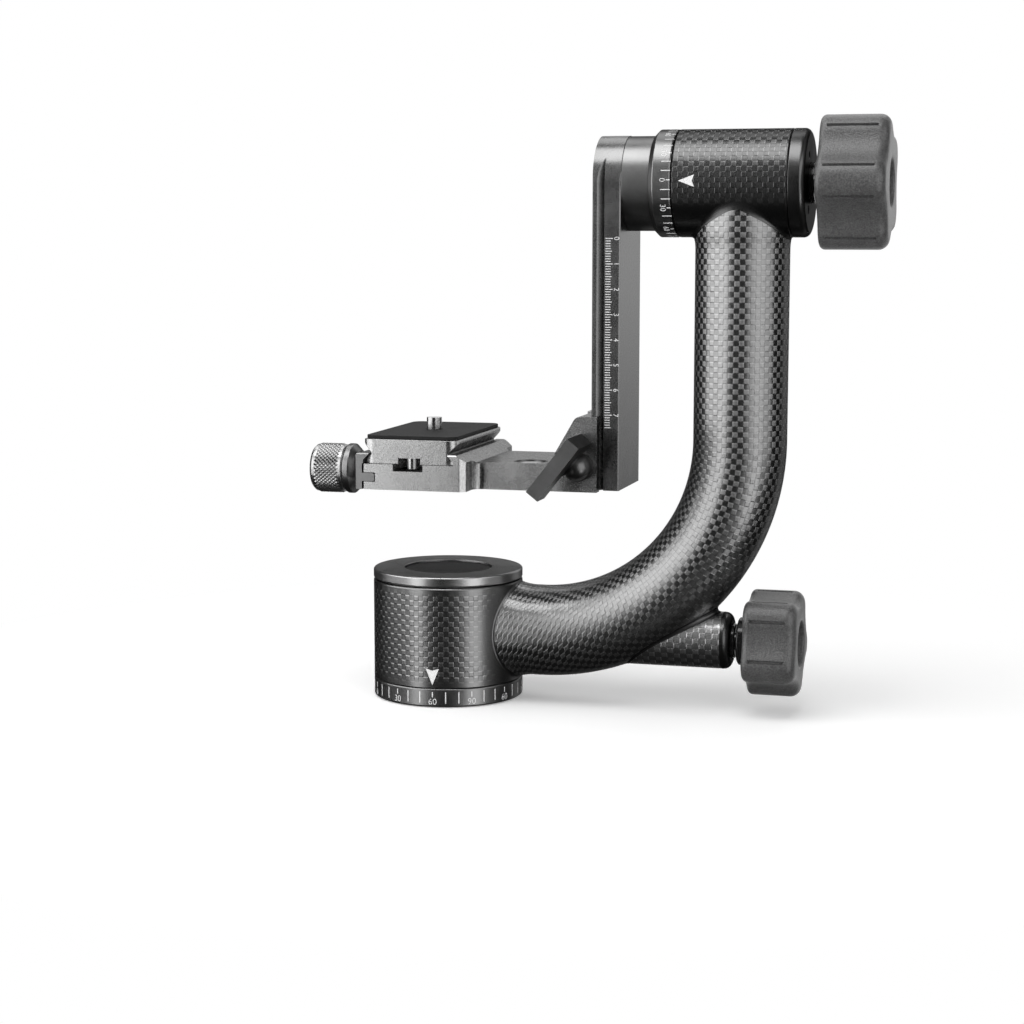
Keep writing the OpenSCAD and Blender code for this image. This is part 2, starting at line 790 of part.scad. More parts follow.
module cap_inlay() {
    inlay_z = barrel_z1 + base_cap_h - cap_recess_depth;
    color(rubber_black)
        cylinder_from(cap_recess_d / 2 - slide_gap, inlay_z, inlay_z + cap_recess_depth / 2);
}

module arm_tube() {
    color(carbon_black) difference() {
        union() {
            arm_sweep(arm_r);
            at_arm() x_lathe([[0, base_r - root_flare_in], [arm_r + arm_flare, base_r - root_flare_in],
                [arm_r + arm_flare, base_r - root_flare_flat], [arm_r, base_r + root_flare_out],
                [0, base_r + root_flare_out]]);
            translate([arm_reach, 0, tilt_z]) rotate_extrude()
                polygon([[0, -tilt_r - top_flare_out], [arm_r, -tilt_r - top_flare_out],
                    [arm_r + top_flare, -tilt_r + top_flare_in], [0, -tilt_r + top_flare_in]]);
        }
        arm_sweep(arm_in_r);
        translate([0, 0, -eps]) cylinder(r = base_r + bond_gap, h = bend_z);
        at_tilt() x_rod(tilt_r + bond_gap, arm_reach - 2 * arm_r, arm_reach + 2 * arm_r);
        at_boss() x_rod(boss_in_r, boss_root_x, arm_reach);
    }
}

module arm_root_plug() {
    color(bare_metal) difference() {
        at_arm() x_rod(arm_plug_r, 0, base_r + plug_l);
        cylinder(r = pan_core_r + bond_gap, h = bend_z);
        at_boss() x_rod(shoe_r + run_gap, 0, base_r + plug_l + eps);
    }
}

module arm_top_plug() {
    color(bare_metal) difference() {
        translate([arm_reach, 0, tilt_z - tilt_r - plug_l]) cylinder(r = arm_plug_r, h = tilt_r + plug_l);
        at_tilt() x_rod(tilt_core_r + bond_gap, arm_reach - 2 * arm_r, arm_reach + 2 * arm_r);
    }
}

module lock_boss() {
    color(carbon_black) difference() {
        at_boss() x_rod(boss_r, boss_root_x, boss_end_x);
        at_boss() x_rod(boss_in_r, boss_root_x - eps, boss_end_x + eps);
        arm_sweep(arm_r + bond_gap);
    }
}

module lock_bushing() {
    neck_r = bushing_neck_d / 2;
    neck_x1 = boss_end_x + bushing_neck_l;
    color(anodised_black) at_boss() difference() {
        union() {
            x_rod(boss_in_r - bond_gap, boss_end_x - bushing_l, boss_end_x);
            x_lathe([[0, boss_end_x], [neck_r, boss_end_x], [neck_r, neck_x1 - cap_edge],
                [neck_r - cap_edge, neck_x1], [0, neck_x1]]);
        }
        x_rod(stud_r + run_gap, boss_end_x - bushing_l - eps, neck_x1 + eps);
    }
}

module tilt_barrel() {
    color(carbon_black) difference() {
        at_tilt() x_lathe([[tilt_r - carbon_wall, tilt_x0], [tilt_r - cap_edge, tilt_x0],
            [tilt_r, tilt_x0 + cap_edge], [tilt_r, tilt_x1 - cap_edge], [tilt_r - cap_edge, tilt_x1],
            [tilt_r - carbon_wall, tilt_x1]]);
        translate([arm_reach, 0, bend_z]) cylinder(r = arm_in_r, h = tilt_z - bend_z);
    }
}

module tilt_housing() {
    color(bare_metal) at_tilt() x_lathe([[tilt_seat_r, tilt_housing_x0], [tilt_core_r, tilt_housing_x0],
        [tilt_core_r, tilt_housing_x1], [tilt_seat_r, tilt_housing_x1], [tilt_seat_r, tilt_right_x],
        [tilt_mid_r, tilt_right_x], [tilt_mid_r, tilt_left_x + tilt_bearing_w],
        [tilt_seat_r, tilt_left_x + tilt_bearing_w]]);
}

module tilt_outer_races() {
    color(steel) for (x = [tilt_left_x, tilt_right_x])
        tilt_stack(x) outer_race(tilt_bearing_bore, tilt_bearing_od, tilt_bearing_w, tilt_ball_r);
}

module tilt_balls() {
    color(steel) for (x = [tilt_left_x, tilt_right_x])
        tilt_stack(x) ball_ring(tilt_bearing_bore, tilt_bearing_od, tilt_bearing_w, tilt_ball_r);
}

module tilt_end_cap() {
    color(anodised_black) at_tilt() difference() {
        rotate([0, 90, 0]) rotate_extrude() {
            translate([0, tilt_x1 + cap_seam]) square([tilt_r, tilt_cap_w - cap_seam - tilt_cap_edge_r]);
            translate([0, tilt_cap_x1 - tilt_cap_edge_r]) square([tilt_r - tilt_cap_edge_r, tilt_cap_edge_r]);
            translate([tilt_r - tilt_cap_edge_r, tilt_cap_x1 - tilt_cap_edge_r]) circle(r = tilt_cap_edge_r);
            translate([tilt_seat_r, tilt_housing_x1 + bond_gap])
                square([tilt_core_r - tilt_seat_r, tilt_cap_spigot + cap_edge]);
        }
        x_rod(stud_r + bush_wall + bond_gap, tilt_x1 - eps, tilt_cap_x1 + eps);
        for (i = [0 : spanner_hole_n - 1])
            rotate([spanner_hole_turn + i * 360 / spanner_hole_n, 0, 0]) translate([0, -spanner_hole_r, 0])
                x_rod(spanner_hole_d / 2, tilt_cap_x1 - spanner_hole_depth, tilt_cap_x1 + eps);
    }
}

module tilt_bushing() {
    flange_x1 = tilt_x1 + cap_seam;
    color(steel) at_tilt() difference() {
        union() {
            x_rod(stud_r + bush_wall, flange_x1 - bush_flange_t, tilt_cap_x1 + tilt_bush_neck);
            x_rod(stud_r + bush_wall + bush_rim, flange_x1 - bush_flange_t, flange_x1);
        }
        x_rod(stud_r + run_gap, flange_x1 - bush_flange_t - eps, tilt_cap_x1 + tilt_bush_neck + eps);
    }
}

// Pan lock

module pan_brake_shoe() {
    color(bronze) difference() {
        at_boss() x_rod(shoe_r, drum_r / 2, shoe_x1);
        cylinder(r = drum_r + run_gap, h = bend_z);
    }
}

module pan_knob() {
    color(rubber_grey) at_boss() translate([pan_knob_x, 0, 0])
        star_knob(pan_knob_d, pan_knob_w, pan_lobe_r, pan_lobe_depth, pan_knob_turn);
}

module pan_knob_ring() {
    color(anodised_black) at_boss() difference() {
        x_lathe([[0, pan_ring_x], [ring_r - cap_edge, pan_ring_x], [ring_r, pan_ring_x + cap_edge],
            [ring_r, pan_ring_x + ring_l], [0, pan_ring_x + ring_l]]);
        x_rod(stud_r + bond_gap, pan_ring_x - eps, pan_knob_x + eps);
    }
}

module pan_stud() {
    color(steel) at_boss() lock_stud(shoe_x1, pan_knob_x + pan_knob_w - knob_recess_depth);
}

module pan_knob_bolt() {
    color(steel) at_boss()
        translate([pan_knob_x + pan_knob_w - knob_recess_depth + bolt_head_h, 0, 0]) knob_bolt();
}

// Tilt lock

module tilt_brake_disc() {
    color(bronze) at_tilt() x_rod(tilt_seat_r - run_gap, tilt_spindle_x1 + run_gap, tilt_disc_x1);
}

module tilt_knob() {
    color(rubber_grey) at_tilt() translate([tilt_knob_x, 0, 0])
        star_knob(tilt_knob_d, tilt_knob_w, tilt_lobe_r, tilt_lobe_depth, tilt_knob_turn);
}

module tilt_knob_ring() {
    color(anodised_black) at_tilt() difference() {
        x_rod(ring_r, tilt_ring_x, tilt_knob_x);
        x_rod(stud_r + bond_gap, tilt_ring_x - eps, tilt_knob_x + eps);
    }
}

module tilt_stud() {
    color(steel) at_tilt() lock_stud(tilt_disc_x1, tilt_knob_x + tilt_knob_w - knob_recess_depth);
}

module tilt_knob_bolt() {
    color(steel) at_tilt()
        translate([tilt_knob_x + tilt_knob_w - knob_recess_depth + bolt_head_h, 0, 0]) knob_bolt();
}

// Swing arm

module tilt_spindle() {
    seat_r = tilt_bearing_bore / 2;
    shoulder_r = seat_r + (tilt_bearing_od - tilt_bearing_bore) / 2 * race_share - seat_relief;
    spigot_x1 = dial_x0 + tilt_dial_w - spigot_recess;
    left_x1 = tilt_left_x + tilt_bearing_w;
    thread_x = tilt_right_x + tilt_bearing_w - seat_relief;
    color(bare_metal) at_tilt() x_lathe([[0, hub_x0 + hub_floor], [seat_r, hub_x0 + hub_floor],
        [seat_r, spigot_x1], [shoulder_r, spigot_x1], [shoulder_r, tilt_left_x], [seat_r, tilt_left_x],
        [seat_r, left_x1], [shoulder_r, left_x1], [shoulder_r, tilt_right_x], [seat_r, tilt_right_x],
        [seat_r, thread_x], [tilt_nut_thread_r, thread_x], [tilt_nut_thread_r, tilt_spindle_x1],
        [0, tilt_spindle_x1]]);
}

module tilt_inner_races() {
    color(steel) for (x = [tilt_left_x, tilt_right_x])
        tilt_stack(x) inner_race(tilt_bearing_bore, tilt_bearing_od, tilt_bearing_w, tilt_ball_r);
}

module tilt_washer() {
    color(steel) at_tilt() difference() {
        x_rod(tilt_bearing_bore / 2 + washer_rim, tilt_right_x + tilt_bearing_w, tilt_nut_x);
        x_rod(tilt_nut_thread_r + thread_gap, tilt_right_x + tilt_bearing_w - eps, tilt_nut_x + eps);
    }
}

module tilt_nut() {
    color(steel) tilt_stack(tilt_nut_x) difference() {
        cylinder(r = tilt_bearing_bore / 2 + nut_rim, h = tilt_nut_w, $fn = 6);
        translate([0, 0, -eps]) cylinder(r = tilt_nut_thread_r + thread_gap, h = tilt_nut_w + 2 * eps);
    }
}

module tilt_hub() {
    spigot_x1 = dial_x0 + tilt_dial_w - spigot_recess;
    screw_x1 = rail_x0 + rail_head_h + rail_screw_l;
    color(anodised_black) difference() {
        at_tilt() x_lathe([[0, hub_x0], [hub_r, hub_x0], [hub_r, dial_x0], [hub_spigot_r, dial_x0],
            [hub_spigot_r, spigot_x1], [0, spigot_x1]]);
        at_tilt() x_rod(tilt_bearing_bore / 2 + bond_gap, hub_x0 + hub_floor, tilt_x0);
        rail_screw_ring() x_rod(rail_screw_d / 2 + thread_gap, hub_x0 - eps, screw_x1 + screw_blind);
    }
}

module tilt_dial() {
    x1 = dial_x0 + tilt_dial_w;
    bore_r = hub_spigot_r + bond_gap;
    color(anodised_black) at_tilt() x_lathe([[bore_r, dial_x0], [tilt_r - dial_chamfer, dial_x0],
        [tilt_r, dial_x0 + dial_chamfer], [tilt_r, x1 - cap_edge], [tilt_r - cap_edge, x1], [bore_r, x1]]);
}

module rail_screw_ring() {
    for (i = [0 : rail_screw_n - 1])
        at_tilt() rotate([45 + i * 360 / rail_screw_n, 0, 0]) translate([0, rail_screw_r, 0]) children();
}

// The rail's cross-section, with its dovetail to -X
module rail_profile() {
    neck = rail_r - rail_groove;
    plate_x = hub_x0 - rail_plate_t;
    half = [[rail_x0, rail_r - rail_edge], [rail_x0 + rail_edge, rail_r], [rail_x0 + rail_lip, rail_r],
        [rail_x0 + rail_lip + rail_groove, neck], [plate_x, neck], [plate_x, rail_r],
        [hub_x0 - rail_edge, rail_r], [hub_x0, rail_r - rail_edge]];
    other = [for (i = [len(half) - 1 : -1 : 0]) [half[i][0], -half[i][1]]];
    polygon(concat(half, other));
}

module swing_rail() {
    color(anodised_black) difference() {
        intersection() {
            translate([0, 0, rail_bottom_z]) linear_extrude(tilt_z + rail_r - rail_bottom_z) rail_profile();
            union() {
                at_tilt() x_rod(rail_r, rail_x0 - eps, hub_x0 + eps);
                translate([rail_x0 - eps, -rail_r - eps, rail_bottom_z - eps])
                    cube([rail_t + 2 * eps, rail_w + 2 * eps, tilt_z - rail_bottom_z + eps]);
            }
        }
        rail_screw_ring() {
            x_rod(rail_screw_d / 2 + thread_gap, rail_x0 - eps, hub_x0 + eps);
            x_rod(rail_screw_d * head_d_factor / 2 + thread_gap, rail_x0 - eps, rail_x0 + rail_head_h);
        }
    }
}

module rail_screws() {
    head_r = rail_screw_d * head_d_factor / 2;
    color(steel) rail_screw_ring() difference() {
        union() {
            x_rod(head_r, rail_x0 + rail_head_sink, rail_x0 + rail_head_h);
            x_rod(rail_screw_d / 2, rail_x0 + rail_head_h, rail_x0 + rail_head_h + rail_screw_l);
        }
        translate([rail_x0, 0, 0]) rotate([0, 90, 0])
            cylinder(r = rail_screw_d * rail_hex_share, h = rail_hex_depth, $fn = 6);
    }
}

// Platform

// Side view of the bracket and bar, in X and Z
module bracket_profile() {
    polygon(rounded([[lip_x, plat_z0, 0], [bracket_x1, plat_z0, 0], [bracket_x1, bracket_z1, 0],
        [bracket_x1 - bracket_top_w, bracket_z1, bracket_crown_r], [bracket_x0, bar_z1, bracket_knee_r],
        [lip_x, bar_z1, 0]]));
}

// Plan of the clamp body: square ends with cut corners, and hollow flanks that run into the bar
module clamp_plan() {
    half = [[body_x0, -clamp_y, 0], [shoulder_x, -clamp_y, shoulder_r],
        [flank_x, -clamp_y + flank_cut, shoulder_r], [flank_x, -bar_y, flank_r],
        [flank_x + 2 * flank_r, -bar_y, 0]];
    other = [for (i = [len(half) - 1 : -1 : 0]) [half[i][0], -half[i][1], half[i][2]]];
    polygon(rounded(concat(half, other)));
}

// The fixed jaw: an undercut lip with a flat top that slopes away to the bar
module fixed_jaw_profile() {
    tip_x = lip_x - lip_reach;
    polygon(rounded([[lip_x, bed_z - eps, 0], [lip_x, bed_z + lip_root_h, 0], [tip_x, lip_z1 - lip_nose, 0],
        [tip_x, lip_z1, 0], [tip_x + lip_flat, lip_z1, lip_crown_r],
        [lip_foot_x, bar_z1, 0], [lip_foot_x, bed_z - eps, 0]]));
}

// Side view that bevels the ends of a lip, in Y and Z
module lip_ends() {
    low = lip_z1 - lip_bevel;
    polygon([[-clamp_y, bed_z - eps], [clamp_y, bed_z - eps], [clamp_y, low],
        [clamp_y - lip_bevel, lip_z1], [-clamp_y + lip_bevel, lip_z1], [-clamp_y, low]]);
}

// A lip drawn in X and Z, run along the clamp with bevelled ends
module clamp_lip() {
    intersection() {
        translate([0, clamp_y, 0]) rotate([90, 0, 0]) linear_extrude(clamp_l) children();
        translate([jaw_x0 - eps, 0, 0]) rotate([90, 0, 90])
            linear_extrude(lip_foot_x - jaw_x0 + 2 * eps) lip_ends();
    }
}

// A level slab through the bracket's channel that follows the rail with sliding room
module rail_channel() {
    neck = rail_r - rail_groove + slide_gap;
    side = rail_r + slide_gap;
    root = rail_x0 + rail_lip + slide_gap;
    past_x = root + rail_groove + bracket_x1 - rail_x0;
    translate([0, 0, plat_z0 - eps]) linear_extrude(bracket_h + 2 * eps)
        polygon([[channel_x, -side], [root, -side], [root + rail_groove, -neck], [past_x, -neck],
            [past_x, neck], [root + rail_groove, neck], [root, side], [channel_x, side]]);
}

// The space at the back that the rail jaw fills
module rail_jaw_block(gap) {
    translate([rail_jaw_x0 - gap, jaw_split_y - gap, plat_z0 + rail_jaw_inset - gap])
        cube([rail_jaw_w + 2 * gap, bar_y - jaw_split_y + 2 * gap,
            bracket_h - 2 * rail_jaw_inset + 2 * gap]);
}

// Carries its children to the lever's axis, with local Z along -Y
module at_lever() {
    translate([lever_x, 0, lever_z]) rotate([90, 0, 0]) children();
}

module platform() {
    color(anodised_grey) difference() {
        union() {
            translate([0, bar_y, 0]) rotate([90, 0, 0]) linear_extrude(bar_depth) bracket_profile();
            translate([0, 0, plat_z0]) linear_extrude(bed_z - plat_z0) clamp_plan();
            intersection() {
                clamp_lip() fixed_jaw_profile();
                translate([0, 0, plat_z0]) linear_extrude(bar_t + lip_h) clamp_plan();
            }
        }
        rail_channel();
        rail_jaw_block(slide_gap);
        translate([bracket_x1 - jaw_window, jaw_split_y - slide_gap, plat_z0 - eps])
            cube([jaw_window + eps, bar_y, bracket_h + 2 * eps]);
        at_lever() cylinder_from(lever_stud_d / 2 + slide_gap, -bar_y - eps, bar_y + eps);
        cylinder_at_level(level_d / 2, bar_z1 - level_depth);
        translate([body_x0 - eps, -clamp_y - eps, tongue_z - slide_gap])
            cube([tongue_l - jaw_gap + tongue_room + eps, clamp_l + 2 * eps, tongue_t + 2 * slide_gap]);
        translate([0, 0, clamp_axis_z])
            x_rod(clamp_screw_d / 2 + run_gap, body_x0 - eps, body_x0 + screw_reach);
        for (turn = [0, 180])
            translate([clamp_x, 0, bed_z - bed_channel_depth]) rotate([0, 0, turn])
                translate([-bed_channel_w / 2, clamp_y - bed_channel_l, 0])
                    cube([bed_channel_w, bed_channel_l + eps, bed_channel_depth + eps]);
    }
}

module cylinder_at_level(r, z0) {
    translate([level_x, level_y, z0]) cylinder(r = r, h = bar_z1 - z0 + eps);
}

module level_cup() {
    color(anodised_black) translate([level_x, level_y, bar_z1 - level_depth]) difference() {
        cylinder(r = level_d / 2 - bond_gap, h = level_depth);
        cylinder_from(level_d / 2 - level_rim, level_floor, level_depth + eps);
    }
}

module level_vial() {
    color(glass_green) translate([level_x, level_y, bar_z1 - level_depth])
        cylinder_from(level_d / 2 - level_rim - bond_gap, level_floor, level_depth - level_sink);
}

module rail_jaw() {
    color(anodised_grey) difference() {
        rail_jaw_block(0);
        rail_channel();
        at_lever() cylinder_from(lever_stud_d / 2 + run_gap, -bar_y - eps, bar_y);
    }
}

// Grip of the lever, drawn about the pivot in X and Z
module lever_grip_plan() {
    rotate(180 + lever_angle) translate([-lever_upper, -lever_offset - lever_w / 2]) children();
}

module lock_lever() {
    color(rubber_grey) translate([lever_x, -bar_y - lever_gap, lever_z]) rotate([90, 0, 0]) difference() {
        union() {
            cylinder(r = lever_hub_d / 2, h = lever_hub_l);
            translate([0, 0, lever_hub_l]) sphere(r = lever_hub_d / 2);
            intersection() {
                cylinder(r = lever_hub_d / 2, h = lever_front);
                linear_extrude(lever_front) lever_grip_plan() square([lever_l, lever_w]);
            }
            translate([0, 0, lever_front - lever_depth]) linear_extrude(lever_depth) lever_grip_plan()
                square([lever_l, lever_w]);
            linear_extrude(lever_front - lever_depth / 3) lever_grip_plan() square([lever_leg_t, lever_w]);
        }
        translate([0, 0, -eps]) cylinder(r = lever_stud_d / 2 + bond_gap, h = lever_hub_l + eps);
    }
}

module lever_stud() {
    color(steel) at_lever() cylinder_from(lever_stud_d / 2, -bar_y + lever_stud_short,
        bar_y + lever_gap + lever_hub_l - lever_stud_blind);
}

// Camera clamp

// Plan of the movable jaw: thin ends and a thick middle for the screw
module jaw_plan() {
    bulge_x = jaw_x0 - jaw_bulge;
    flank_y = jaw_boss_half + jaw_flank;
    polygon(rounded([[jaw_x1, -clamp_y, 0], [jaw_x0, -clamp_y, 0], [jaw_x0, -flank_y, jaw_flank_r],
        [bulge_x, -jaw_boss_half, jaw_corner_r], [bulge_x, jaw_boss_half, jaw_corner_r],
        [jaw_x0, flank_y, jaw_flank_r], [jaw_x0, clamp_y, 0], [jaw_x1, clamp_y, 0]]));
}

// The movable jaw's lip, facing the fixed one
module movable_lip_profile() {
    left_x = clamp_x - dovetail_w / 2;
    tip_x = left_x + lip_reach;
    polygon(rounded([[jaw_x0, bed_z - eps, 0], [left_x, bed_z - eps, 0], [left_x, bed_z + lip_root_h, 0],
        [tip_x, lip_z1 - lip_nose, 0], [tip_x, lip_z1, 0], [jaw_x0, lip_z1, lip_crown_r]]));
}

// The tongue that slides in the clamp's slot, in X and Z
module tongue_profile() {
    polygon(rounded([[jaw_x1 - eps, tongue_z, 0], [jaw_x1 + tongue_l, tongue_z, tongue_r],
        [jaw_x1 + tongue_l, tongue_z + tongue_t, tongue_r], [jaw_x1 - eps, tongue_z + tongue_t, 0]]));
}

module clamp_jaw() {
    color(anodised_grey) difference() {
        union() {
            translate([0, 0, plat_z0]) linear_extrude(bed_z - plat_z0) jaw_plan();
            difference() {
                clamp_lip() movable_lip_profile();
                translate([jaw_x1, -clamp_y - eps, bed_z - 2 * eps])
                    cube([dovetail_w, clamp_l + 2 * eps, 2 * eps + slide_gap]);
            }
            translate([0, clamp_y, 0]) rotate([90, 0, 0]) linear_extrude(clamp_l) tongue_profile();
        }
        translate([0, 0, clamp_axis_z])
            x_rod(clamp_screw_d / 2 + slide_gap, jaw_x0 - jaw_bulge - eps, body_x0 + tongue_l);
    }
}

module clamp_knob() {
    r = clamp_knob_d / 2;
    x0 = clamp_knob_x1 - clamp_knob_l;
    color(anodised_black) translate([0, 0, clamp_axis_z]) difference() {
        x_lathe([[0, x0], [r - clamp_knob_edge, x0], [r, x0 + clamp_knob_edge],
            [r, clamp_knob_x1 - collar_edge], [r - collar_edge, clamp_knob_x1], [0, clamp_knob_x1]]);
        x_rod(clamp_screw_d / 2 + bond_gap, x0 + clamp_knob_floor, clamp_knob_x1 + eps);
    }
}

module clamp_collar() {
    r = clamp_knob_d / 2;
    color(anodised_black) translate([0, 0, clamp_axis_z]) difference() {
        x_lathe([[0, clamp_knob_x1], [r - collar_edge, clamp_knob_x1], [r, clamp_knob_x1 + collar_edge],
            [r, collar_x1 - collar_chamfer], [r - collar_chamfer, collar_x1], [0, collar_x1]]);
        x_rod(clamp_screw_d / 2 + bond_gap, clamp_knob_x1 - eps, collar_x1 + eps);
    }
}

module clamp_screw() {
    x0 = clamp_knob_x1 - clamp_knob_l + clamp_knob_floor;
    color(steel) translate([0, 0, clamp_axis_z])
        x_rod(clamp_screw_d / 2, x0, body_x0 + screw_reach - screw_short);
}

// Quick-release plate

// Plan of the plate with rounded corners
module plate_plan(inset) {
    w = 2 * (plate_top_half - inset);
    l = plate_l - 2 * inset;
    translate([clamp_x, 0]) {
        square([w - 2 * plate_corner_r, l], center = true);
        square([w, l - 2 * plate_corner_r], center = true);
        for (sx = [-1, 1])
            for (sy = [-1, 1])
                translate([sx * (w / 2 - plate_corner_r), sy * (l / 2 - plate_corner_r)])
                    circle(r = plate_corner_r);
    }
}

// The plate's cross-section in X and Z: a dovetail foot, a deep groove for the lips and a wide top
module plate_profile() {
    neck = plate_half - plate_notch;
    half = [[plate_half, plate_z0], [plate_half, plate_z0 + plate_foot_h],
        [neck, plate_z0 + plate_foot_h + plate_notch], [neck, lip_z1 + plate_room],
        [plate_top_half, plate_z1 - plate_flange_h],
        [plate_top_half, plate_z1 - plate_edge], [plate_top_half - plate_edge, plate_z1]];
    other = [for (i = [len(half) - 1 : -1 : 0]) [-half[i][0], half[i][1]]];
    translate([clamp_x, 0]) polygon(concat(half, other));
}

module qr_plate() {
    color(anodised_grey) difference() {
        intersection() {
            translate([0, plate_l / 2, 0]) rotate([90, 0, 0]) linear_extrude(plate_l) plate_profile();
            translate([0, 0, plate_z0 - eps]) linear_extrude(plate_t + 2 * eps) plate_plan(0);
        }
        translate([clamp_x, 0, 0]) {
            cylinder_from(camera_screw_d / 2 + run_gap, plate_z0 - eps, plate_z1 + eps);
            cylinder_from(screw_head_r + slide_gap, plate_z0 - eps, plate_z0 + head_pocket_h);
        }
        translate([clamp_x - plate_slot_w / 2, -plate_l / 2 - eps, plate_z0 - eps])
            cube([plate_slot_w, plate_l + 2 * eps, plate_slot_h + eps]);
        for (s = [-1, 1])
            translate([clamp_x, s * stop_y, 0])
                cylinder_from(stop_r + thread_gap, plate_z0, plate_z0 + stop_up + slide_gap);
    }
}

module qr_pad() {
    color(rubber_black) difference() {
        translate([0, 0, plate_z1]) linear_extrude(pad_t) plate_plan(pad_inset);
        translate([clamp_x, 0, 0])
            cylinder_from(camera_screw_d / 2 + slide_gap, plate_z1 - eps, plate_z1 + pad_t + eps);
    }
}

module stop_screws() {
    color(steel) for (s = [-1, 1])
        translate([clamp_x, s * stop_y, 0]) {
            cylinder_from(stop_head_r, plate_z0 - stop_down, plate_z0 + plate_slot_h);
            cylinder_from(stop_r, plate_z0 + plate_slot_h, plate_z0 + stop_up);
        }
}

module camera_screw() {
    head_z0 = plate_z0 + head_pocket_h - screw_head_t;
    pad_z1 = plate_z1 + pad_t;
    color(steel) translate([clamp_x, 0, 0]) difference() {
        union() {
            cylinder_from(screw_head_r, head_z0, plate_z0 + head_pocket_h);
            cylinder_from(camera_screw_d / 2 - screw_neck_step, plate_z0 + head_pocket_h, pad_z1);
            cylinder_from(camera_screw_d / 2, pad_z1, pad_z1 + camera_screw_up);
        }
        translate([-screw_head_r - eps, -screw_slot_w / 2, head_z0 - eps])
            cube([2 * screw_head_r + 2 * eps, screw_slot_w, screw_slot_depth + eps]);
    }
}

base_plate();
tripod_insert();
pan_dial();
pan_spindle();
spindle_screws();
pan_inner_races();
pan_washer();
pan_nut();
pan_barrel();
pan_housing();
pan_outer_races();
pan_balls();
base_cap();
cap_inlay();
arm_tube();
arm_root_plug();
arm_top_plug();
lock_boss();
lock_bushing();
tilt_barrel();
tilt_housing();
tilt_outer_races();
tilt_balls();
tilt_end_cap();
tilt_bushing();
pan_brake_shoe();
pan_knob();
pan_knob_ring();
pan_stud();
pan_knob_bolt();
tilt_brake_disc();
tilt_knob();
tilt_knob_ring();
tilt_stud();
tilt_knob_bolt();
tilt_spindle();
tilt_inner_races();
tilt_washer();
tilt_nut();
tilt_hub();
tilt_dial();
swing_rail();
rail_screws();
platform();
level_cup();
level_vial();
rail_jaw();
lock_lever();
lever_stud();
clamp_jaw();
clamp_knob();
clamp_collar();
clamp_screw();
qr_plate();
qr_pad();
stop_screws();
camera_screw();
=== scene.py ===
import json
import math

import bpy
import bmesh
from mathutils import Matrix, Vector

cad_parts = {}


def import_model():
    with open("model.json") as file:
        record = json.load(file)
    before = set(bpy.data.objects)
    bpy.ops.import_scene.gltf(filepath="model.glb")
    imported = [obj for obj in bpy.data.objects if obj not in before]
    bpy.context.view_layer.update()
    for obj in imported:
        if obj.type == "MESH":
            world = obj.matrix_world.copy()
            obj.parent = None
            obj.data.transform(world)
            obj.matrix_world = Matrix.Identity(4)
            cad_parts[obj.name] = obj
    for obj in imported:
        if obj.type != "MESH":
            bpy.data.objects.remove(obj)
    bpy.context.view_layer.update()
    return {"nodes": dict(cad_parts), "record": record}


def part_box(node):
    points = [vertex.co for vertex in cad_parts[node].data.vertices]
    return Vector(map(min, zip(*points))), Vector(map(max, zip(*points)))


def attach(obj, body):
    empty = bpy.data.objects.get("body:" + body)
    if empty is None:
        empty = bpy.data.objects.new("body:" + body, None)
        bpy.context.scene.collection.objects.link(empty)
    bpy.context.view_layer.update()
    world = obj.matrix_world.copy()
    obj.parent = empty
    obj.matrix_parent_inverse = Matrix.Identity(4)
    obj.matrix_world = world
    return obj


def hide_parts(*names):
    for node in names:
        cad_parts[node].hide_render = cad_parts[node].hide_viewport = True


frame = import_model()
nodes = frame["nodes"]
scene = bpy.context.scene
MM = 0.001


def box_mm(node):
    """Lowest and highest corner of a CAD node at rest, in mm."""
    low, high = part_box(node)
    return low / MM, high / MM


# Places and sizes in mm, worked out from the frame. Only the arm's two radii are given here.
barrel_low, barrel_high = box_mm("pan_barrel")
boss_low, boss_high = box_mm("lock_boss")
plug_low, plug_high = box_mm("arm_top_plug")
dial_low, dial_high = box_mm("tilt_dial")
ARM_R = 18.8
BEND_R = 81.5
BASE_R = -barrel_low.x
BOSS_R = (boss_high.z - boss_low.z) / 2
TILT_R = (dial_high.z - dial_low.z) / 2
ARM_Z = (barrel_low.z + barrel_high.z) / 2
BOSS_Z = (boss_low.z + boss_high.z) / 2
TILT_Z = (dial_low.z + dial_high.z) / 2
REACH = (plug_low.x + plug_high.x) / 2
BEND_X = REACH - BEND_R
BEND_Z = ARM_Z + BEND_R


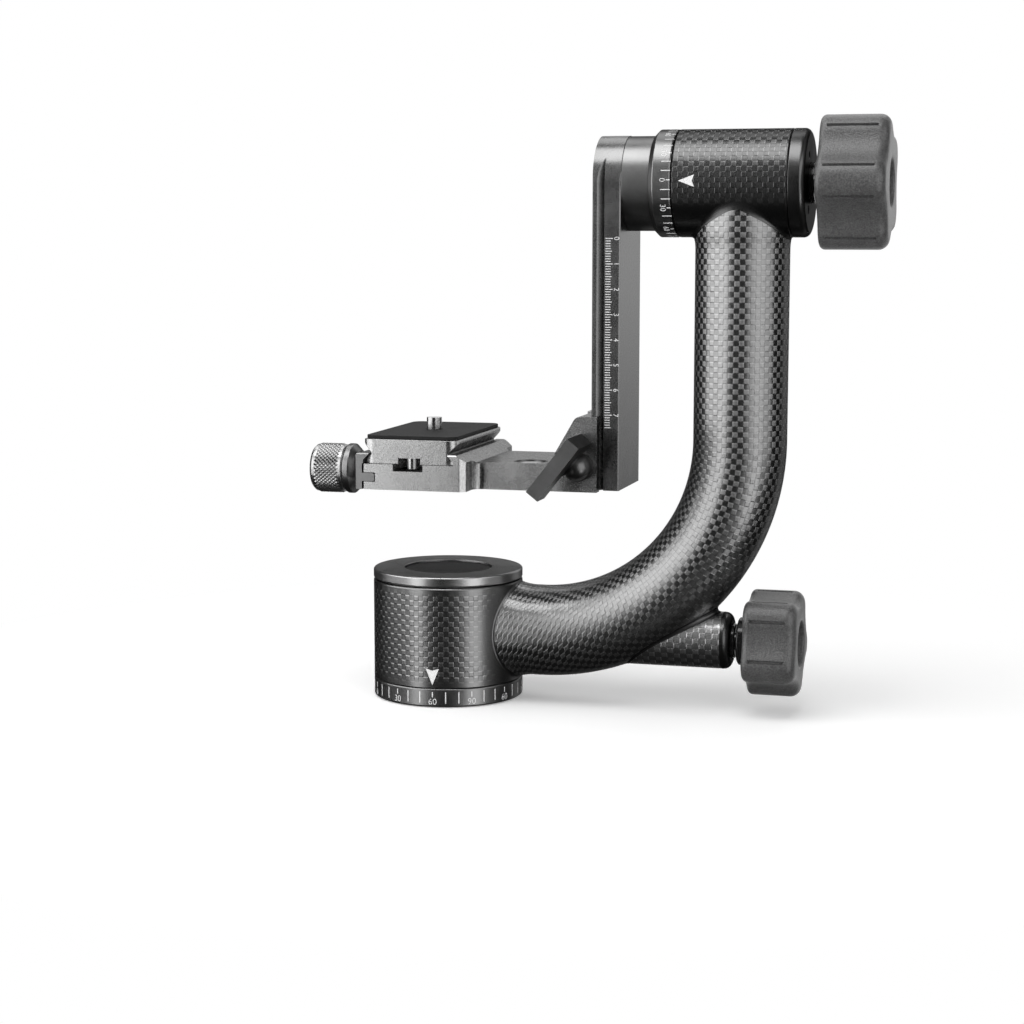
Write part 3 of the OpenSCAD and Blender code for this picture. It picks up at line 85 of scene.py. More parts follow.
class Nodes:
    """Adds nodes to a tree and joins them. A value is a number or the output of another node."""

    def __init__(self, tree):
        self.tree = tree

    def add(self, kind, **props):
        node = self.tree.nodes.new("ShaderNode" + kind)
        for key, value in props.items():
            setattr(node, key, value)
        return node

    def put(self, socket, value):
        if isinstance(value, bpy.types.NodeSocket):
            self.tree.links.new(value, socket)
        else:
            socket.default_value = value

    def fill(self, node, values):
        """Sets several inputs of a node, by number or name."""
        for key, value in values.items():
            self.put(node.inputs[key], value)
        return node

    def split(self, vector):
        return tuple(self.fill(self.add("SeparateXYZ"), {0: vector}).outputs)

    def combine(self, x, y, z):
        return self.fill(self.add("CombineXYZ"), {0: x, 1: y, 2: z}).outputs[0]

    def math(self, op, a, b=0.0, c=0.0):
        return self.fill(self.add("Math", operation=op), {0: a, 1: b, 2: c}).outputs[0]

    def times(self, a, b):
        return self.math("MULTIPLY", a, b)

    def minus(self, a, b):
        return self.math("SUBTRACT", a, b)

    def length(self, a, b):
        """Distance made up of two sides at right angles."""
        return self.math("SQRT", self.math("ADD", self.times(a, a), self.times(b, b)))

    def vector(self, op, a, b=(0.0, 0.0, 0.0)):
        return self.fill(self.add("VectorMath", operation=op), {0: a, 1: b}).outputs[0]

    def span(self, value, low, high, to_low=0.0, to_high=1.0):
        """Maps low..high to to_low..to_high, held at the ends."""
        ends = {"From Min": low, "From Max": high, "To Min": to_low, "To Max": to_high}
        return self.fill(self.add("MapRange"), {"Value": value, **ends}).outputs[0]

    def mix(self, share, a, b):
        """Blends two numbers."""
        return self.fill(self.add("Mix", data_type="FLOAT"), {0: share, 2: a, 3: b}).outputs[0]

    def tint(self, share, a, b):
        """Blends two colours."""
        return self.fill(self.add("Mix", data_type="RGBA"), {0: share, 6: a, 7: b}).outputs[2]

    def turn(self, share, a, b):
        """Blends two directions."""
        return self.fill(self.add("Mix", data_type="VECTOR"), {0: share, 4: a, 5: b}).outputs[1]

    def blend(self, share, a, b):
        """Blends two shaders."""
        return self.fill(self.add("MixShader"), {0: share, 1: a, 2: b}).outputs[0]


class Shader(Nodes):
    """One procedural material."""

    def __init__(self, name):
        self.mat = bpy.data.materials.new(name)
        self.mat.use_nodes = True
        super().__init__(self.mat.node_tree)
        self.bsdf = self.tree.nodes["Principled BSDF"]
        self.place = self.add("TexCoord").outputs["Object"]

    def set(self, **values):
        """Sets inputs of the surface shader: underscores stand for spaces."""
        for key, value in values.items():
            self.put(self.bsdf.inputs[key.replace("_", " ")], value)

    def xyz(self):
        """Place on the object, in metres."""
        return self.split(self.place)

    def noise(self, size, detail=2.0, rough=0.5):
        """Noise whose spots are about size mm across."""
        look = {"Scale": 1.0 / (size * MM), "Detail": detail, "Roughness": rough}
        return self.fill(self.add("TexNoise"), {"Vector": self.place, **look}).outputs["Fac"]

    def bump(self, height, depth):
        """Relief of a height map, depth in mm."""
        relief = self.fill(self.add("Bump"), {"Height": height, "Distance": depth * MM, "Strength": 1.0})
        self.put(self.bsdf.inputs["Normal"], relief.outputs[0])


def grey(value, warm=0.0):
    return (value * (1 + warm), value, value * (1 - warm), 1.0)


# Size of the clouds in a metal's tone in mm, the range of the noise that is used, the share of the grain in
# the roughness, and how far that strays.
CLOUD = 9.0
NOISE = (0.3, 0.7)
ROUGH_SPECKLE = 0.5
ROUGH_STRAY = 0.04


def metal(name, dark, light, rough, grain=0.25, depth=0.012, metallic=1.0, specular=0.5,
          warm=0.0, edge=1.0, speckle=0.45):
    """Metal, rubber, plastic, laminate or paint: mottled tone, uneven gloss and a fine grain.
    grain and depth of the relief are in mm, edge is the tone at a glancing angle, and speckle is the share
    of the grain in the tone, against clouds."""
    s = Shader(name)
    cloud = s.noise(CLOUD, detail=3.0)
    fine = s.noise(grain, rough=0.6)
    spots = s.span(s.mix(speckle, cloud, fine), *NOISE)
    uneven = s.span(s.mix(ROUGH_SPECKLE, cloud, fine), *NOISE, rough - ROUGH_STRAY, rough + ROUGH_STRAY)
    s.set(Base_Color=s.tint(spots, grey(dark, warm), grey(light, warm)), Roughness=uneven)
    s.set(Metallic=metallic, Specular_IOR_Level=specular, Specular_Tint=grey(edge))
    s.bump(fine, depth)
    return s.mat


# Plain-weave carbon: tone and roughness of the tows round and along the tube, and the tone at a glancing
# angle.
CARBON_ROUND, CARBON_ALONG = 0.34, 0.40
ROUGH_ROUND, ROUGH_ALONG = 0.30, 0.34
CARBON_EDGE = 0.07
# A cell is one crossing of tows. From its middle, 0, to its rim, 1: foot and top of a raised tow's side,
# and the seam between tows.
TOW_SIDE = (0.99, 0.76)
SEAM = (0.8, 0.98)
# How much darker the seam is, height of a raised tow in mm, and where the highlight painted on its upper
# end starts, from 0 to 1 along it.
SEAM_DARK = 0.24
TOW_HEIGHT = 0.045
HIGHLIGHT_RAMP = (0.72, 0.82)
# Fibre streaks to a cell across and along a tow, the range of their noise, and the tones that it gives.
FIBRE_LINES, FIBRE_RUN = 14.0, 0.8
FIBRE_NOISE, FIBRE_TONE = (0.25, 0.75), (0.85, 1.15)


def fibres(s, u, v, along, cell):
    """Streaks that follow the fibres of each tow."""
    across = s.times(s.mix(along, v, u), FIBRE_LINES)
    run = s.times(s.mix(along, u, v), FIBRE_RUN)
    streaks = s.fill(s.add("TexNoise"), {"Vector": s.combine(across, run, cell), "Scale": 1.0})
    return s.span(streaks.outputs["Fac"], *FIBRE_NOISE, *FIBRE_TONE)


def spread_light(s, along, way):
    """Turns the stretch of the reflections with the fibres of each tow."""
    ring = s.vector("CROSS_PRODUCT", way, s.add("TexCoord").outputs["Normal"])
    world = s.add("VectorTransform", vector_type="VECTOR", convert_from="OBJECT", convert_to="WORLD")
    s.put(world.inputs[0], s.turn(along, way, ring))
    s.put(s.bsdf.inputs["Tangent"], world.outputs[0])


def carbon(name, cells, strength, aniso, tick_highlight, keep=None):
    """Plain-weave carbon whose tows along the tube are raised, with flat tops and steep sides.
    cells(shader) gives the cell counts round and along, and the way along the tube. Light spreads across the
    fibres of each tow, so the tows along the tube stay grey where the others go black. tick_highlight is a
    highlight painted on the upper end of a tow. keep(shader) is 1 where the weave shows and 0 where the
    laminate is plain."""
    s = Shader(name)
    u, v, way = cells(s)
    weave = keep(s) if keep else 1.0
    cell = s.math("ADD", s.math("FLOOR", u), s.math("FLOOR", v))
    along = s.times(s.math("FLOORED_MODULO", cell, 2.0), weave)
    in_u, in_v = s.math("FRACT", u), s.math("FRACT", v)
    off_u = s.math("ABSOLUTE", s.math("MULTIPLY_ADD", in_u, 2.0, -1.0))
    off_v = s.math("ABSOLUTE", s.math("MULTIPLY_ADD", in_v, 2.0, -1.0))
    rim = s.math("MAXIMUM", off_u, off_v)

    # strength scales the carbon's tone per piece: painted light and shade, one laminate made lighter or
    # darker to stand for how brightly each piece is lit.
    tone = s.mix(along, CARBON_ROUND * strength, CARBON_ALONG * strength)
    tone = s.times(tone, s.span(rim, *SEAM, 1.0, s.math("MULTIPLY_ADD", weave, -SEAM_DARK, 1.0)))
    # Painted highlight: the upper end of each raised tow is made lighter in tone, as a lamp above would light
    # it.
    highlight_mask = s.times(along, s.span(in_v, *HIGHLIGHT_RAMP))
    tone = s.times(tone, s.math("MULTIPLY_ADD", highlight_mask, tick_highlight, 1.0))
    tone = s.times(tone, fibres(s, u, v, along, cell))
    colour = s.fill(s.add("CombineColor"), {0: tone, 1: tone, 2: tone})

    s.set(Base_Color=colour.outputs[0], Metallic=1.0, Roughness=s.mix(along, ROUGH_ROUND, ROUGH_ALONG))
    s.set(Specular_Tint=grey(CARBON_EDGE), Anisotropic=aniso)
    s.set(Coat_Weight=0.08, Coat_Roughness=0.2, Coat_IOR=1.4)
    spread_light(s, along, way)
    s.bump(s.times(s.times(along, s.span(rim, *TOW_SIDE)), weave), TOW_HEIGHT)
    return s.mat


def square(radius, count):
    """Length of a cell that is as long as it is wide, in mm, for count cells round a tube."""
    return math.tau * radius / count


def round_z(count, pitch):
    """Cells of an upright tube."""
    def cells(s):
        x, y, z = s.xyz()
        u = s.times(s.math("ARCTAN2", y, x), count / math.tau)
        return u, s.math("DIVIDE", z, pitch * MM), s.combine(0.0, 0.0, 1.0)
    return cells


def round_x(axis_z, count, pitch):
    """Cells of a level tube."""
    def cells(s):
        x, y, z = s.xyz()
        u = s.times(s.math("ARCTAN2", y, s.minus(z, axis_z * MM)), count / math.tau)
        return u, s.math("DIVIDE", x, pitch * MM), s.combine(1.0, 0.0, 0.0)
    return cells


# The arm's cloth slants near the base, in mm: where that ends, past the start of the bend, and how far back
# from there the slant is 45 degrees.
SLANT_END = 55.0
SLANT_RUN = 69.0


def along_arm(count, pitch):
    """Cells of the arm, which follow the level run, the bend and the upright as one path."""
    def cells(s):
        x, y, z = s.xyz()
        dx = s.minus(x, BEND_X * MM)
        dz = s.minus(BEND_Z * MM, z)
        px, pz = s.math("MAXIMUM", dx, 0.0), s.math("MAXIMUM", dz, 0.0)
        path = s.times(s.math("ARCTAN2", px, pz), BEND_R * MM)
        path = s.math("ADD", path, s.math("MINIMUM", dx, 0.0))
        path = s.minus(path, s.math("MINIMUM", dz, 0.0))
        angle = s.math("ARCTAN2", y, s.minus(BEND_R * MM, s.length(px, pz)))
        lead = s.math("MAXIMUM", s.minus(SLANT_END * MM, path), 0.0)
        skew = s.times(s.times(lead, lead), 0.5 / (SLANT_RUN * MM) / (pitch * MM))
        u = s.math("MULTIPLY_ADD", angle, count / math.tau, skew)
        way = s.vector("NORMALIZE", s.combine(pz, 0.0, px))
        return u, s.math("DIVIDE", path, pitch * MM), way
    return cells


# Where the weave fades in, in mm: off the arm, along x, off each end of the base, and below the tilt axle.
ROOT_FADE = (3.2, 10.2)
LEFT_FADE = (12.0, 4.0)
LOW_FADE = (0.9, 3.9)
HIGH_FADE = (0.7, 4.2)
TILT_FADE = (9.75, 4.25)


def keep_base(s):
    """The base's weave fades at its ends and where the arm grows out of it."""
    x, y, z = s.xyz()
    root = s.length(y, s.minus(z, ARM_Z * MM))
    off_arm = s.span(root, *((ARM_R + far) * MM for far in ROOT_FADE))
    left = s.span(x, *(far * MM for far in LEFT_FADE))
    low = s.span(z, *((barrel_low.z + far) * MM for far in LOW_FADE))
    high = s.span(z, *((barrel_high.z - far) * MM for far in HIGH_FADE))
    return s.times(s.math("MAXIMUM", off_arm, left), s.times(low, high))


def keep_tilt(s):
    """The tilt barrel's weave fades where the arm meets it."""
    return s.span(s.xyz()[2], *((TILT_Z - far) * MM for far in TILT_FADE))


BLACK = metal("anodised black", 0.26, 0.36, 0.32, edge=0.11)
RAIL = metal("anodised rail", 0.22, 0.30, 0.27, edge=0.65)
CAP = metal("anodised cap", 0.48, 0.66, 0.30, grain=0.35, depth=0.02, edge=0.06, speckle=0.7)
SATIN = metal("satin black", 0.145, 0.19, 0.30, edge=0.12)
KNURL = metal("knurled black", 0.48, 0.68, 0.28, edge=0.5)
GREY = metal("blasted grey", 0.44, 0.84, 0.27, grain=0.36, depth=0.008, edge=0.25, speckle=0.85)
# The clamp jaw has the same blasted grey finish as the platform; this darker copy is painted shade.
SHADED_GREY = metal("blasted grey, painted shade", 0.20, 0.40, 0.30, grain=0.36, depth=0.008, edge=0.25, speckle=0.85)
BARE = metal("bare aluminium", 0.55, 0.7, 0.3)
STEEL = metal("steel", 0.55, 0.66, 0.22)
BRONZE = metal("bronze", 0.35, 0.45, 0.35, warm=0.3)
LEVER = metal("lever plastic", 0.18, 0.26, 0.36, grain=0.3, depth=0.02, edge=0.3)
FLOW = metal("flowing laminate", 0.18, 0.24, 0.34, depth=0.004, edge=0.17)
PLAIN = metal("plain laminate", 0.11, 0.15, 0.34, depth=0.004, edge=0.17)
KNOB = metal("knob rubber", 0.028, 0.125, 0.34, grain=0.6, depth=0.19, metallic=0.0, specular=1.0,
             speckle=0.8)
PAD = metal("pad rubber", 0.014, 0.026, 0.7, grain=0.5, depth=0.05, metallic=0.0, specular=0.15)
GLOSS = metal("gloss black", 0.010, 0.016, 0.14, depth=0.002, metallic=0.0, specular=0.8)
VIAL = metal("vial", 0.05, 0.08, 0.1, depth=0.001, metallic=0.0)
PAINT = metal("white paint", 0.78, 0.88, 0.55, grain=0.4, depth=0.004, metallic=0.0, specular=0.3)

# Cells round each tube. The boss's cells are longer than they are wide.
BASE_CELLS, TILT_CELLS, BOSS_CELLS, ARM_CELLS = 94, 64, 32, 56
BOSS_PITCH = 2.6
BASE_WEAVE = round_z(BASE_CELLS, square(BASE_R, BASE_CELLS))
TILT_WEAVE = round_x(TILT_Z, TILT_CELLS, square(TILT_R, TILT_CELLS))
BOSS_WEAVE = round_x(BOSS_Z, BOSS_CELLS, BOSS_PITCH)
ARM_WEAVE = along_arm(ARM_CELLS, square(ARM_R, ARM_CELLS))
# Each weave's strength is painted light and shade: the same carbon is made lighter on the boss and darker on
# the tilt barrel.
WEAVES = {
    "pan_barrel": carbon("carbon base", BASE_WEAVE, strength=0.8, aniso=0.15, tick_highlight=0.7, keep=keep_base),
    "tilt_barrel": carbon("carbon tilt", TILT_WEAVE, strength=0.42, aniso=0.5, tick_highlight=0.6, keep=keep_tilt),
    "lock_boss": carbon("carbon boss", BOSS_WEAVE, strength=1.5, aniso=0.2, tick_highlight=0.6),
    "arm_tube": carbon("carbon arm", ARM_WEAVE, strength=1.05, aniso=0.8, tick_highlight=0.25),
}
SPECIAL = {"swing_rail": RAIL, "base_cap": CAP, "tilt_end_cap": SATIN, "clamp_jaw": SHADED_GREY,
           "tilt_bushing": GLOSS, "lock_bushing": GLOSS, "pan_knob_ring": GLOSS, "tilt_knob_ring": GLOSS}
SLOTS = {"anodised_black": BLACK, "anodised_grey": GREY, "bare_aluminium": BARE, "steel": STEEL,
         "bronze": BRONZE, "knob_rubber": KNOB, "lever_plastic": LEVER, "pad_rubber": PAD, "vial": VIAL}
slot_of = {part["node"]: part["material_slot"] for part in frame["record"]["subparts"]}
for name, obj in nodes.items():
    obj.data.materials.clear()
    obj.data.materials.append(WEAVES.get(name) or SPECIAL.get(name) or SLOTS[slot_of[name]])


def clean_normals():
    """Node group that drops the imported normals, so that bevels can shade their own."""
    group = bpy.data.node_groups.new("plain normals", "GeometryNodeTree")
    group.interface.new_socket("Geometry", in_out="INPUT", socket_type="NodeSocketGeometry")
    group.interface.new_socket("Geometry", in_out="OUTPUT", socket_type="NodeSocketGeometry")
    start, end = group.nodes.new("NodeGroupInput"), group.nodes.new("NodeGroupOutput")
    drop = group.nodes.new("GeometryNodeRemoveAttribute")
    drop.inputs["Name"].default_value = "custom_normal"
    group.links.new(start.outputs[0], drop.inputs[0])
    group.links.new(drop.outputs[0], end.inputs[0])
    return group


# Edge breaks of CAD nodes: widths and how close points are joined, in mm, and in degrees the angle from
# which an edge is broken and the one up to which faces count as flat.
WIDE_EDGE, FINE_EDGE = 0.35, 0.25
CAD_MERGE = 0.001
EDGE_ANGLE = 35
FLAT_ANGLE = 0.3
WIDE_EDGED = ("platform", "clamp_jaw", "qr_plate", "swing_rail", "lock_lever", "rail_jaw")
FINE_EDGED = ("base_cap", "pan_dial", "tilt_hub", "tilt_dial", "tilt_end_cap", "clamp_collar", "lock_bushing",
              "pan_knob_ring", "tilt_knob_ring", "tilt_bushing", "qr_pad", "base_plate")
PLAIN_NORMALS = clean_normals()


def soften(name, width):
    """Breaks the sharp edges of a CAD node with modifiers."""
    obj = nodes[name]
    obj.modifiers.new("normals", "NODES").node_group = PLAIN_NORMALS
    obj.modifiers.new("weld", "WELD").merge_threshold = CAD_MERGE * MM
    flat = obj.modifiers.new("flat", "DECIMATE")
    flat.decimate_type = "DISSOLVE"
    flat.angle_limit = math.radians(FLAT_ANGLE)
    edge = obj.modifiers.new("edge", "BEVEL")
    edge.width = width * MM
    edge.segments = 2
    edge.limit_method = "ANGLE"
    edge.angle_limit = math.radians(EDGE_ANGLE)
    edge.harden_normals = True


for name in WIDE_EDGED:
    soften(name, WIDE_EDGE)
for name in FINE_EDGED:
    soften(name, FINE_EDGE)


# How close points of a new mesh, and of a print, are joined, in mm.
MERGE, PRINT_MERGE = 0.0001, 0.002


def new_object(name, mesh, mat):
    mesh.materials.append(mat)
    obj = bpy.data.objects.new(name, mesh)
    scene.collection.objects.link(obj)
    return obj


def mount(obj, body):
    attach(obj, body)


def piece(name, verts, faces, body, mat, sharp):
    """Makes a closed mesh that rides on a body. Points in mm, edges over sharp degrees stay sharp."""
    mesh = bpy.data.meshes.new(name)
    mesh.from_pydata([v * MM for v in verts], [], faces)
    bm = bmesh.new()
    bm.from_mesh(mesh)
    bmesh.ops.remove_doubles(bm, verts=bm.verts, dist=MERGE * MM)
    bmesh.ops.recalc_face_normals(bm, faces=bm.faces)
    bm.to_mesh(mesh)
    bm.free()
    mesh.shade_smooth()
    mesh.set_sharp_from_angle(angle=math.radians(sharp))
    obj = new_object(name, mesh, mat)
    mount(obj, body)
    return obj


def skin(rings):
    """Points and faces over a row of rings, which all have the same count of points."""
    n = len(rings[0])
    verts = [p for ring in rings for p in ring]
    faces = []
    for k in range(len(rings) - 1):
        for i in range(n):
            j = (i + 1) % n
            faces.append((k * n + i, k * n + j, (k + 1) * n + j, (k + 1) * n + i))
    return verts, faces


def unit(angle):
    return Vector((math.cos(angle), math.sin(angle)))


def turned(p, angle):
    """A flat point turned about the origin."""
    c, s = math.cos(angle), math.sin(angle)
    return Vector((p.x * c - p.y * s, p.x * s + p.y * c))


def arc(cx, cy, r, start, end, steps):
    """Points of an arc, angles in degrees."""
    angles = [math.radians(start + (end - start) * k / steps) for k in range(steps + 1)]
    return [(cx + r * math.cos(a), cy + r * math.sin(a)) for a in angles]


# The arm's flares in mm: how much thicker it is, where that ends, in x or below the tilt axle, and over
# what run.
ROOT_FLARE, ROOT_FLARE_END, ROOT_FLARE_RUN = 1.6, 38.0, 11.0
TOP_FLARE, TOP_FLARE_END, TOP_FLARE_RUN = 0.64, 25.8, 7.5
# The arm's skin: points round it, rings along each stretch, its wall and how far it goes into the barrels
# in mm.
ARM_AROUND = 128
LEVEL_RINGS, BEND_RINGS, UPRIGHT_RINGS = 14, 80, 48
ARM_WALL = 0.8
ARM_SINK = 0.6


def swell(f):
    """Smooth step from 0 to 1."""
    f = min(max(f, 0.0), 1.0)
    return f * f * (3 - 2 * f)


def root_radius(x, angle):
    """The arm is thicker above and below where it leaves the base."""
    return ARM_R + ROOT_FLARE * math.cos(angle) ** 2 * swell((ROOT_FLARE_END - x) / ROOT_FLARE_RUN)


def top_radius(drop):
    """drop is the distance below the tilt axle."""
    return ARM_R + TOP_FLARE * swell((TOP_FLARE_END - drop) / TOP_FLARE_RUN)


def level_point(f, a, under):
    """Place on the level run: f from the base to the bend, a round the tube, under mm below its skin."""
    start = math.sqrt(BASE_R ** 2 - (ARM_R * math.sin(a)) ** 2) - ARM_SINK
    x = start + (BEND_X - start) * f
    r = root_radius(x, a) - under
    return Vector((x, r * math.sin(a), ARM_Z + r * math.cos(a)))


def bend_point(f, a, under):
    """Place on the bend, a quarter turn."""
    turn = f * math.pi / 2
    r = ARM_R - under
    away = BEND_R - r * math.cos(a)
    return Vector((BEND_X + away * math.sin(turn), r * math.sin(a), BEND_Z - away * math.cos(turn)))


def upright_point(f, a, under):
    """Place on the upright, from the bend to the tilt barrel."""
    end = TILT_Z - math.sqrt(TILT_R ** 2 - ((ARM_R + TOP_FLARE) * math.sin(a)) ** 2) + ARM_SINK
    z = BEND_Z + (end - BEND_Z) * f
    r = top_radius(TILT_Z - z) - under
    return Vector((REACH - r * math.cos(a), r * math.sin(a), z))


def arm_skin():
    """Woven skin of the J tube, from inside the base barrel to inside the tilt barrel."""
    rows = [(level_point, k / LEVEL_RINGS) for k in range(LEVEL_RINGS + 1)]
    rows += [(bend_point, k / BEND_RINGS) for k in range(1, BEND_RINGS + 1)]
    rows += [(upright_point, k / UPRIGHT_RINGS) for k in range(1, UPRIGHT_RINGS + 1)]

    def ring(point, f, under):
        return [point(f, math.tau * i / ARM_AROUND, under) for i in range(ARM_AROUND)]

    outer = [ring(point, f, 0.0) for point, f in rows]
    inner = [ring(point, f, ARM_WALL) for point, f in rows]
    verts, faces = skin(outer + inner[::-1] + [outer[0]])
    obj = piece("arm_skin", verts, faces, "arm", WEAVES["arm_tube"], sharp=40)
    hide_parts("arm_tube")


# Fillets: steps round and across. In mm, how far they stand proud of both surfaces, how much more at their
# edge on the tube, and how deep that edge and the hidden back go in.
FILLET_AROUND, FILLET_ACROSS = 144, 10
FILLET_PROUD, FILLET_EDGE = 0.03, 0.08
EDGE_SINK, EDGE_TAIL = 0.1, 0.05
BACK_SINK = 0.3
# How the ball's place, the slope of the body and the back are searched for, in mm.
SEARCH_FAR, SEARCH_HALVINGS = 60.0, 40
SLOPE_STEP = 0.001
BACK_STEP, BACK_BALLS, BACK_MORE = 0.05, 6, 3.0


def fillet(name, spot, surface, radius, ball, mat):
    """Hollow fillet of laminate between a tube and the body that it grows out of, in mm.
    spot(a, angle, r) is a place a along the tube and r off its axis; surface(p) is the distance off the body;
    radius(a, angle) is the tube's, ball(angle) the fillet's."""
    rings = []
    for k in range(FILLET_AROUND):
        angle = math.tau * k / FILLET_AROUND
        rho = ball(angle)
        near, far = 0.0, SEARCH_FAR
        for _ in range(SEARCH_HALVINGS):
            a = (near + far) / 2
            if surface(spot(a, angle, radius(a, angle) + rho)) < rho:
                near = a
            else:
                far = a
        centre = spot(a, angle, radius(a, angle) + rho)
        foot = spot(a, angle, radius(a, angle))
        to_tube = (foot - centre).normalized()
        nudges = [Vector([SLOPE_STEP if i == axis else 0 for i in range(3)]) for axis in range(3)]
        slope = Vector([surface(centre + nudge) - rho for nudge in nudges])
        to_body = -slope.normalized()
        turn = to_body.angle(to_tube)
        line = []
        for i in range(FILLET_ACROSS + 1):
            f = i / FILLET_ACROSS
            way = (to_body * math.sin((1 - f) * turn) + to_tube * math.sin(f * turn)) / math.sin(turn)
            line.append(centre + way * (rho - FILLET_PROUD - FILLET_EDGE * max(0.0, f - 0.5) * 2))
        line.append(foot + to_tube * EDGE_SINK + (line[-1] - line[-2]) * EDGE_TAIL)
        inward = (to_body + to_tube).normalized()
        deep = rho
        while deep < BACK_BALLS * rho + BACK_MORE:
            back = centre + inward * deep
            if surface(back) < -BACK_SINK and (back - foot).dot(to_tube) > BACK_SINK:
                break
            deep += BACK_STEP
        line.append(back)
        rings.append(line)
    verts, faces = skin(rings + [rings[0]])
    piece(name, verts, faces, "arm", mat, sharp=40)


# Ball radii of the fillets, the room from the arm's axis to the barrels' ends, and about the arm's radius
# at its flares, in mm. A higher power makes a ball run more suddenly into its limit.
FLARED_R = 20.1
LEAST_BALL = 0.3
FIT_POWER = 4
TINY = 1e-6
ROOT_BALL, ROOT_ROOM = 1.4, 20.7
TOP_BALL, TOP_SIDE_BALL, TOP_SIDE_POWER = 1.6, 8.0, 10
TOP_ROOM_RIGHT, TOP_ROOM_LEFT = 20.9, 24.0
BOSS_BALL, BOSS_BALL_SWING = 2.2, 0.8
BOSS_START = 60.0


def fitted(ball, room, angle):
    """Ball radius that runs smoothly into the gap between the arm's flare and the barrel's end."""
    gap = room / max(abs(math.cos(angle)), TINY) - FLARED_R
    return (ball ** -FIT_POWER + max(gap, LEAST_BALL) ** -FIT_POWER) ** (-1 / FIT_POWER)


def root_fillet():
    """Where the arm leaves the base."""
    def spot(a, t, r):
        return Vector((a, r * math.sin(t), ARM_Z + r * math.cos(t)))

    def surface(p):
        return math.hypot(p.x, p.y) - BASE_R

    fillet("root_fillet", spot, surface, root_radius, lambda t: fitted(ROOT_BALL, ROOT_ROOM, t), FLOW)


def top_fillet():
    """Where the arm meets the tilt barrel."""
    def spot(a, t, r):
        return Vector((REACH + r * math.cos(t), r * math.sin(t), TILT_Z - a))

    def surface(p):
        return math.hypot(p.y, p.z - TILT_Z) - TILT_R

    def ball(t):
        room = TOP_ROOM_RIGHT if math.cos(t) > 0 else TOP_ROOM_LEFT
        return fitted(TOP_BALL + TOP_SIDE_BALL * math.sin(t) ** TOP_SIDE_POWER, room, t)

    fillet("top_fillet", spot, surface, lambda a, t: top_radius(a), ball, PLAIN)


def boss_fillet():
    """Where the pan lock's boss leaves the bend."""
    def spot(a, t, r):
        return Vector((BOSS_START + a, r * math.sin(t), BOSS_Z + r * math.cos(t)))

    def surface(p):
        return math.hypot(math.hypot(p.x - BEND_X, p.z - BEND_Z) - BEND_R, p.y) - ARM_R

    def ball(t):
        return BOSS_BALL - BOSS_BALL_SWING * math.cos(t)

    fillet("boss_fillet", spot, surface, lambda a, t: BOSS_R, ball, PLAIN)


# Star knobs: lobes and steps. In mm, round edges at the back and the front, the bore, the flat back, the
# bolt's recess with its lip, and the swell of the front.
LOBES = 5
LOBE_STEPS, HOLLOW_STEPS = 26, 16
BACK_EDGE, BACK_STEPS = 2.2, 6
FRONT_EDGE, FRONT_STEPS = 4.2, 9
BORE_R = 5.0
BACK_R = 9.0
RECESS_R, RECESS_DEPTH, RECESS_CORNER = 9.3, 8.0, 0.6
LIP, LIP_R, LIP_STEPS = 1.0, 0.9, 4
CROWN = 0.12
CROWN_RINGS = (0.35, 0.7)
# Their engraved grip lines: degrees from a lobe's middle, width and depth in mm, where a line starts and
# where it is deep, from the back and from the front, its section in shares of the width, with 1 for its
# floor, and how many widths are kept clear of other steps.
LINE_ANGLE, LINE_WIDTH, LINE_DEPTH = 13.75, 1.4, 1.0
LINE_BACK = (2.85, 3.15)
LINE_FRONT = (4.25, 4.45)
LINE_SECTION = ((-1.0, 0), (-0.5, 0), (-0.25, 1), (0.25, 1), (0.5, 0), (1.0, 0))
LINE_CLEAR = 1.2


def star_outline(r, lobe_r, depth):
    """Steps round a star knob: point, outward normal, and 1 on the floor of a grip line."""
    half = math.pi / LOBES
    lobe_at, waist = r - lobe_r, r - depth
    facing = lobe_at * math.cos(half)
    hollow_r = lobe_at ** 2 + waist ** 2 - 2 * waist * facing - lobe_r ** 2
    hollow_r /= 2 * (lobe_r - waist + facing)
    hollow = unit(half) * (waist + hollow_r)
    lobe = Vector((lobe_at, 0))
    reach = math.atan2(hollow.y, hollow.x - lobe_at)
    line = math.radians(LINE_ANGLE)
    line += math.asin(lobe_at * math.sin(line) / lobe_r)
    width = LINE_WIDTH / lobe_r
    stops = [(-reach + 2 * reach * k / LOBE_STEPS, 0) for k in range(LOBE_STEPS)]
    stops = [stop for stop in stops if abs(abs(stop[0]) - line) > LINE_CLEAR * width]
    for side in (-line, line):
        stops += [(side + share * width, cut) for share, cut in LINE_SECTION]
    steps = [(lobe + unit(a) * lobe_r, unit(a), cut) for a, cut in sorted(stops)]
    for k in range(HOLLOW_STEPS):
        normal = -unit(reach + math.pi + 2 * (half - reach) * k / HOLLOW_STEPS)
        steps.append((hollow - normal * hollow_r, normal, 0))
    turns = [2 * half * k for k in range(LOBES)]
    return [(turned(p, turn), turned(n, turn), cut) for turn in turns for p, n, cut in steps]


